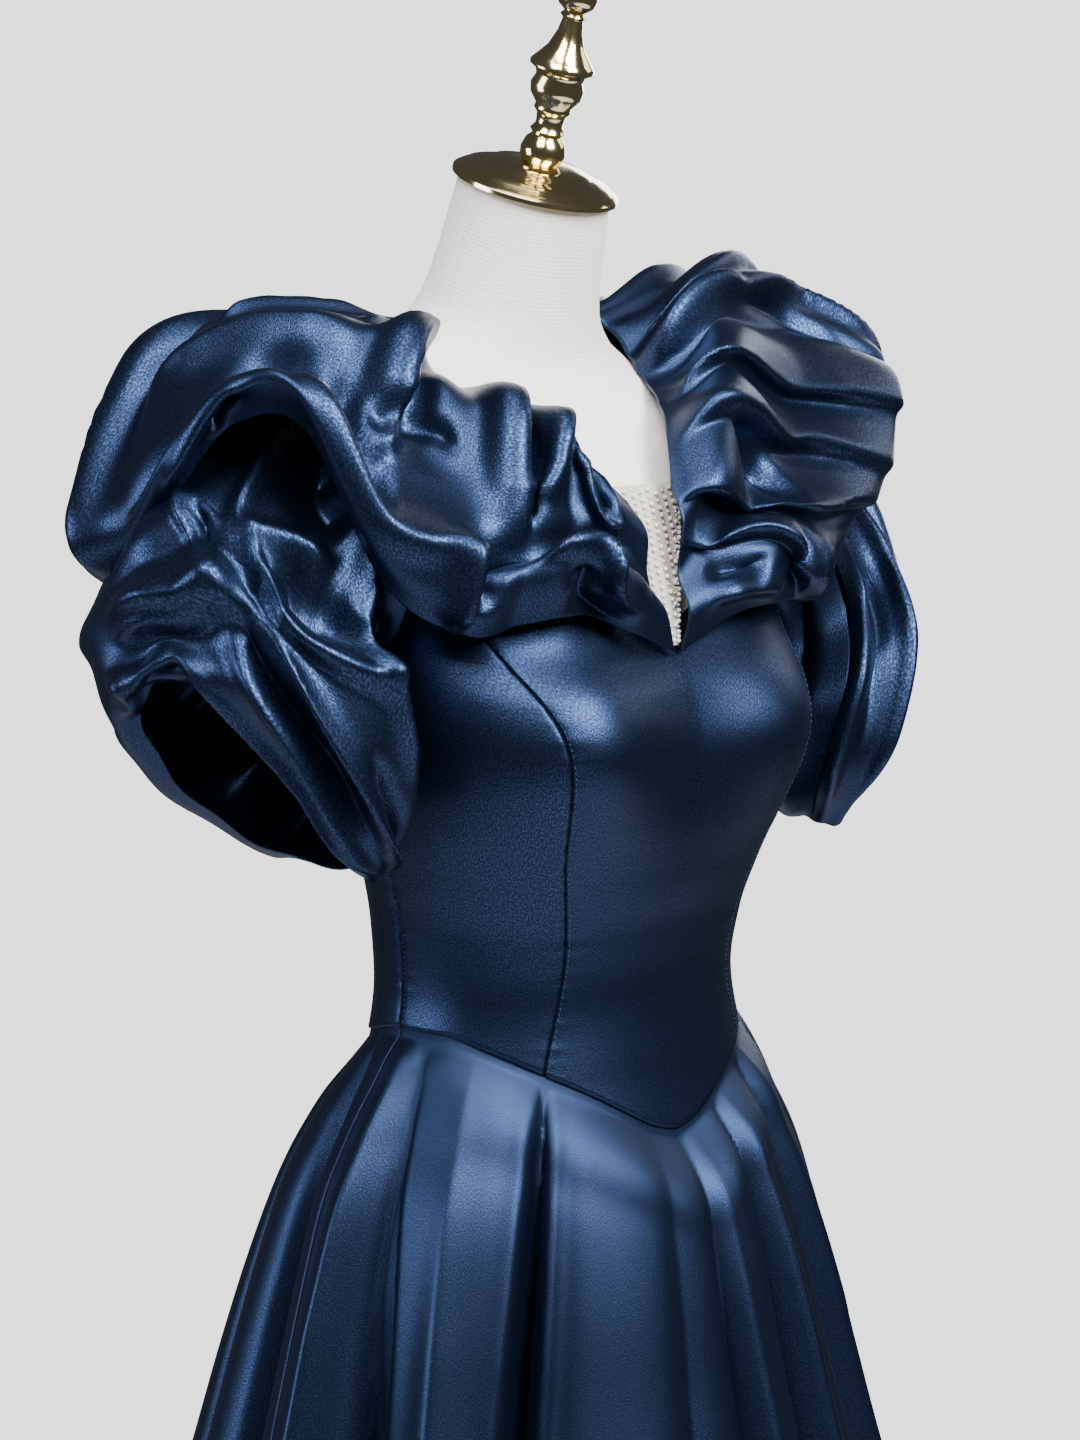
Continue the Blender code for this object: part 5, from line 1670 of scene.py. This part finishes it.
@dataclass
class Skirt:
    """The full skirt: a front and two backs, pleated into the waist seam and open at the hem."""

    figure: Figure
    bodice: Bodice
    satin: Material
    panels: tuple[SkirtPanel, ...] = (
        SkirtPanel("skirt_front", -94.0, 94.0, 240, (1.62, 1.10), 1.22),
        SkirtPanel("skirt_back_left", 94.0, 180.0, 96, (0.80, 1.10), 0.52),
        SkirtPanel("skirt_back_right", -180.0, -94.0, 96, (0.80, 1.10), 0.52),
    )
    rows: int = 120
    solid_rows: int = 11
    waist_drop: float = 0.005
    tuck: float = 0.0012
    waist_gap: float = 0.0001
    spring: float = 0.8
    spring_length: float = 0.06
    over_form: float = 0.004
    over_form_length: float = 0.03
    row_spread: float = 1.4
    fold_growth: float = 0.45
    fold_power: float = 0.7
    fold_share: float = 0.7
    crease_growth: float = 0.16
    crease_power: float = 0.8
    crease_tail: float = 1.5

    def surface(self, panel: SkirtPanel, across: Array, rise: Array) -> Array:
        """Points of a panel's inner face.

        Args:
            panel: The panel.
            across: Shares between the panel's two angles.
            rise: Shares from the hem to the waist.

        Returns:
            Points (x, forward, up).
        """
        fall = 1 - rise
        angle = panel.start + (panel.end - panel.start) * across
        waist, _ = self.bodice.edges(angle)
        waist = waist + self.tuck
        top = self.figure.moved_out(self.figure.point(angle, waist), np.full(np.shape(angle), self.waist_gap))
        first = 1 / (self.solid_rows - 1)
        hem_up = HEM_CLEARANCE - WAIST_HEIGHT
        up = waist - self.waist_drop * np.clip(fall / first, 0, 1)
        up = up + (hem_up - up) * np.clip((fall - first) / (1 - first), 0, 1) ** self.row_spread
        table = np.array(SKIRT)
        front, back, side = np.moveaxis(smooth(-up, -table[:, 0], table[:, 1:]), -1, 0)
        cosine, sine = np.cos(np.radians(angle)), np.sin(np.radians(angle))
        depth = np.where(cosine > 0, front, back)
        radius = 1 / np.sqrt((cosine / depth) ** 2 + (sine / side) ** 2)
        top_radius = np.hypot(top[..., 0], top[..., 1])
        top_angle = np.degrees(np.arctan2(top[..., 0], top[..., 1]))
        below = np.clip(waist - up - self.waist_drop, 0, None)
        blend = eased(below / self.spring_length)
        radius = (top_radius + below * self.spring) * (1 - blend) + np.maximum(radius, top_radius) * blend
        bearing = top_angle * (1 - blend) + angle * blend
        drift = np.clip(below / self.fold_growth, 0, 1)
        grown = drift**self.fold_power
        early = np.clip(below / self.crease_growth, 0, 1) ** self.crease_power
        for fold in SKIRT_FOLDS:
            form = np.exp(-(fold.spread(bearing, drift) ** 2))
            radius = radius + self.fold_share * fold.depth * grown * form
        for fold in SKIRT_CREASES:
            spread = fold.spread(bearing, drift)
            form = 0.5 * np.exp(-(spread**2)) + 0.5 * np.exp(-self.crease_tail * spread)
            radius = radius + fold.depth * early * form
        bearing = np.radians(bearing)
        points = np.stack([radius * np.sin(bearing), radius * np.cos(bearing), up], axis=-1)
        return self.figure.kept_clear(points, self.over_form * np.clip(below / self.over_form_length, 0, 1))

    def build(self) -> None:
        """Build the three panels."""
        for panel in self.panels:
            sheet = Sheet(panel.name + "_satin", *panel.cut, panel.columns, self.rows)
            made = sheet.walled(partial(self.surface, panel))
            dressed(made, self.satin, [panel.name])


# The dress form


@dataclass
class DressForm:
    """The limbless padded torso in its linen cover."""

    figure: Figure
    linen: Material
    inset: float = 0.0024
    cup_inset: float = 0.2
    bottom: float = -0.240
    top: float = 0.476
    columns: int = 144
    rows: int = 150
    girth: float = 0.72
    fill: float = 1.0
    seams: tuple[float, ...] = (0.0, 90.0, -90.0)
    seam_radius: float = 0.07
    band_up: float = 0.389
    dip_depth: float = 0.0006
    dip_half_width: float = 0.0011

    def surface(self, around: Array, rise: Array) -> Array:
        """Points of the cover.

        Args:
            around: Shares of a turn from the centre back.
            rise: Shares from the hip to the top of the neck.

        Returns:
            Points (x, forward, up).
        """
        angle = around * 360 - 180
        level = self.bottom + (self.top - self.bottom) * rise
        points = self.figure.point(angle, level)
        cup = self.cup_inset * self.figure.cup_depth(points[..., 0], points[..., 2])
        lines = np.zeros(angle.shape)
        for seam in self.seams:
            beside = (angle - seam) * np.radians(1) * self.seam_radius
            lines += np.exp(-((beside / self.dip_half_width) ** 2))
        band = np.exp(-(((level - self.band_up) / self.dip_half_width) ** 2))
        dip = self.dip_depth * np.clip(lines + band, 0, 1)
        points = self.figure.moved_out(points, -self.inset - cup - dip)
        points[0, :, 2] = self.bottom
        return points

    def build(self) -> None:
        """Build the torso, closed at the hip and at the top of the neck."""
        sheet = Sheet("torso_cover", self.girth, self.top - self.bottom, self.columns, self.rows, tube=True)
        made = sheet.drape(self.surface)
        build = bmesh.new()
        build.from_mesh(made.data)
        rims = [edge for edge in build.edges if edge.is_boundary]
        bmesh.ops.holes_fill(build, edges=rims, sides=0)
        bmesh.ops.recalc_face_normals(build, faces=build.faces)
        build.to_mesh(made.data)
        build.free()
        dressed(made, self.linen, ["form_torso"])


def outline(*pairs: tuple[float, float]) -> Profile:
    """An outline in metres from pairs of a radius and a height in millimetres."""
    return tuple((radius / 1000, height / 1000) for radius, height in pairs)


@dataclass
class Stand:
    """The turned metal cap and finial on the neck, and the pole and foot under the form."""

    figure: Figure
    brass: Material
    steel: Material
    gap: float = 0.0003
    form_top: float = 0.476
    form_bottom: float = -0.240
    pole_radius: float = 0.0125
    foot_radius: float = 0.170
    foot_thickness: float = 0.014
    sharp_angle: float = 50.0
    cap_profile: Profile = outline(
        (0, 0), (49.5, 0), (49.5, 2.5), (46.5, 4.6), (45, 5), (43, 6.8), (32.5, 10), (31, 10.3),
        (29, 11.8), (19, 13.5), (0, 13.5),
    )
    finial_profile: Profile = outline(
        (0, 13.8), (10.5, 13.8), (13.2, 18), (13.6, 22), (11.8, 27.5), (8.5, 31), (10.5, 33.5), (8, 37),
        (8.5, 43), (11, 46), (10.5, 48.5), (15, 54.5), (16, 60), (14, 65), (15, 68.5), (19, 71), (19, 73),
        (16.5, 76), (11, 83), (7.5, 92), (6, 100), (8, 102), (6, 104.5), (10.5, 108), (12, 113),
        (10.5, 118), (6, 121.5), (4, 125), (0, 130),
    )

    def turned(
        self, name: str, profile: Profile, finish: Material, segments: int, place: Array, lean: float = 0.0
    ) -> None:
        """Turn a profile round the axis.

        Args:
            name: The node that the piece stands for.
            profile: Outline points (radius, height), the first and last on the axis.
            finish: The material.
            segments: Sides round the axis.
            place: Where the profile's height 0 lies.
            lean: Forward tilt of the axis, in degrees.
        """
        build = bmesh.new()
        verts = [build.verts.new((radius, 0.0, height)) for radius, height in profile]
        edges = [build.edges.new(pair) for pair in zip(verts, verts[1:])]
        axis, turn = (0, 0, 1), math.tau
        bmesh.ops.spin(
            build, geom=verts + edges, cent=(0, 0, 0), axis=axis, angle=turn, steps=segments, use_merge=True
        )
        bmesh.ops.remove_doubles(build, verts=build.verts, dist=1e-5)
        bmesh.ops.recalc_face_normals(build, faces=build.faces)
        move = Matrix.Translation(Vector(place)) @ Matrix.Rotation(math.radians(lean), 4, "X")
        bmesh.ops.transform(build, matrix=move, verts=build.verts)
        made = meshed(name + "_turned", build)
        made.data.set_sharp_from_angle(angle=math.radians(self.sharp_angle))
        dressed(made, finish, [name])

    def build(self) -> None:
        """Build the four turned pieces."""
        neck = self.figure.rings[-1]
        ahead = self.gap * 2 * math.sin(math.radians(neck.lean))
        place = world(np.array([0.0, neck.forward + ahead, self.form_top + self.gap * 2]))
        self.turned("neck_cap", self.cap_profile, self.brass, 96, place, neck.lean)
        self.turned("finial", self.finial_profile, self.brass, 64, place, neck.lean)
        top = WAIST_HEIGHT + self.form_bottom - self.gap
        bottom = self.foot_thickness + self.gap
        ground = np.zeros(3)
        pole = ((0.0, bottom), (self.pole_radius, bottom), (self.pole_radius, top), (0.0, top))
        self.turned("pole", pole, self.steel, 48, ground)
        shares = ((0.0, 0.0), (1.0, 0.0), (1.0, 0.5), (0.997, 0.7), (0.985, 0.9), (0.97, 1.0), (0.0, 1.0))
        foot = tuple((self.foot_radius * out, self.foot_thickness * rise) for out, rise in shares)
        self.turned("foot", foot, self.steel, 96, ground)


# The studio


class Softbox(NamedTuple):
    """A square soft light: where it hangs, its side in metres, its watts and its colour."""

    name: str
    spot: Spot
    size: float
    power: float
    colour: str


SOFTBOXES = (
    Softbox("key_softbox", (0.0, -2.3, 2.85), 1.4, 210.0, "#ffffff"),
    Softbox("left_softbox", (-1.8, -1.2, 3.3), 1.5, 120.0, "#ffffff"),
    Softbox("top_softbox", (-0.4, -0.3, 3.6), 1.3, 35.0, "#f4f7ff"),
    Softbox("side_softbox", (-2.5, 1.5, 1.5), 1.3, 55.0, "#eef3ff"),
    Softbox("far_softbox", (2.4, -0.6, 2.6), 1.2, 14.0, "#ffffff"),
    Softbox("rear_softbox", (2.5, 1.3, 1.9), 1.4, 40.0, "#f4f7ff"),
)


@dataclass
class Studio:
    """The pale floor, the soft lights and the camera at the photograph's angle."""

    floor_finish: Material
    floor_radius: float = 1.8
    azimuth: float = 44.5
    pitch: float = 8.0
    distance: float = 2.31
    aim_up: float = 0.163
    lens: float = 97.5
    side_shift: float = 11.0 / 1440.0
    light_aim: Spot = (0.0, 0.0, 1.15)
    air_seen: str = "#e9e9ec"
    seen_strength: float = 2.7
    air_lit: str = "#dfe2e8"
    lit_strength: float = 0.09

    def build_camera(self) -> None:
        """Set the camera at the photograph's place, with the form a little right of the middle."""
        turn, tilt = math.radians(self.azimuth), math.radians(self.pitch)
        flat = self.distance * math.cos(tilt)
        data = bpy.data.cameras.new("photo_camera")
        data.lens = self.lens
        data.sensor_width = 36.0
        data.shift_x = -self.side_shift
        made = bpy.data.objects.new("photo_camera", data)
        height = WAIST_HEIGHT + self.aim_up + self.distance * math.sin(tilt)
        made.location = (-flat * math.sin(turn), -flat * math.cos(turn), height)
        made.rotation_euler = (math.radians(90) - tilt, 0.0, -turn)
        bpy.context.scene.collection.objects.link(made)
        bpy.context.scene.camera = made

    def build_light(self, box: Softbox) -> None:
        """Hang a softbox that faces the bodice.

        Args:
            box: The softbox.
        """
        data = bpy.data.lights.new(box.name, "AREA")
        data.shape = "SQUARE"
        data.size = box.size
        data.energy = box.power
        data.color = linear(box.colour)[:3]
        made = bpy.data.objects.new(box.name, data)
        made.location = box.spot
        aim = Vector(self.light_aim) - Vector(box.spot)
        made.rotation_euler = aim.to_track_quat("-Z", "Y").to_euler()
        bpy.context.scene.collection.objects.link(made)

    def build_world(self) -> None:
        """Fill the studio with a pale, even light."""
        sky = bpy.data.worlds.new("studio_air")
        sky.use_nodes = True
        tree = sky.node_tree
        tree.nodes.clear()
        path = add_node(tree, "ShaderNodeLightPath").outputs["Is Camera Ray"]
        airs = ((self.air_lit, self.lit_strength), (self.air_seen, self.seen_strength))
        lit, seen = (
            add_node(tree, "ShaderNodeBackground", {"Color": linear(colour), "Strength": strength})
            for colour, strength in airs
        )
        both = add_node(tree, "ShaderNodeMixShader", {0: path, 1: lit, 2: seen})
        add_node(tree, "ShaderNodeOutputWorld", {"Surface": both})
        bpy.context.scene.world = sky

    def build(self) -> None:
        """Build the floor, lights and camera."""
        build = bmesh.new()
        bmesh.ops.create_circle(build, cap_ends=True, segments=96, radius=self.floor_radius)
        floor = meshed("studio_floor", build)
        floor.data.materials.append(self.floor_finish)
        self.build_world()
        for box in SOFTBOXES:
            self.build_light(box)
        self.build_camera()


def main() -> None:
    """Load the frame and dress it."""
    logging.basicConfig(level=logging.INFO, format="%(message)s")
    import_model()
    figure = Figure()
    satin = DuchessSatin().build()
    brass = PolishedBrass("gilt_brass").build()
    steel = PolishedBrass("gilt_steel", light="#cfa651", deep="#b58a39", roughness=0.2).build()
    Studio(StudioFloor().build()).build()
    DressForm(figure, LinenCover().build()).build()
    Stand(figure, brass, steel).build()
    bodice = Bodice(figure, satin, SewingThread().build())
    bodice.build()
    pearl = BeadGlass("glass_pearl", "#efe9e0", "#d9d3cf", roughness=0.22, coat=0.6)
    stone = BeadGlass("foiled_crystal", "#f4f6fb", "#c9d2e0", roughness=0.06, metallic=0.75)
    BeadedInsert(figure, BeadedNet().build(), pearl.build(), stone.build()).build()
    Collar(Side.RIGHT, figure, satin, COLLAR_RIGHT, RIGHT_COLLAR_FOLDS, RIGHT_COLLAR_CREASES).build()
    Collar(Side.LEFT, figure, satin, COLLAR_LEFT, LEFT_COLLAR_FOLDS, LEFT_COLLAR_CREASES).build()
    Sleeve(Side.RIGHT, figure, satin, RIGHT_SLEEVE_CREASES, hang=(0.0, 0.0, 0.0)).build()
    Sleeve(Side.LEFT, figure, satin, LEFT_SLEEVE_CREASES, hang=(0.010, 0.008, -0.012)).build()
    Skirt(figure, bodice, satin).build()


if __name__ == "__main__":
    main()
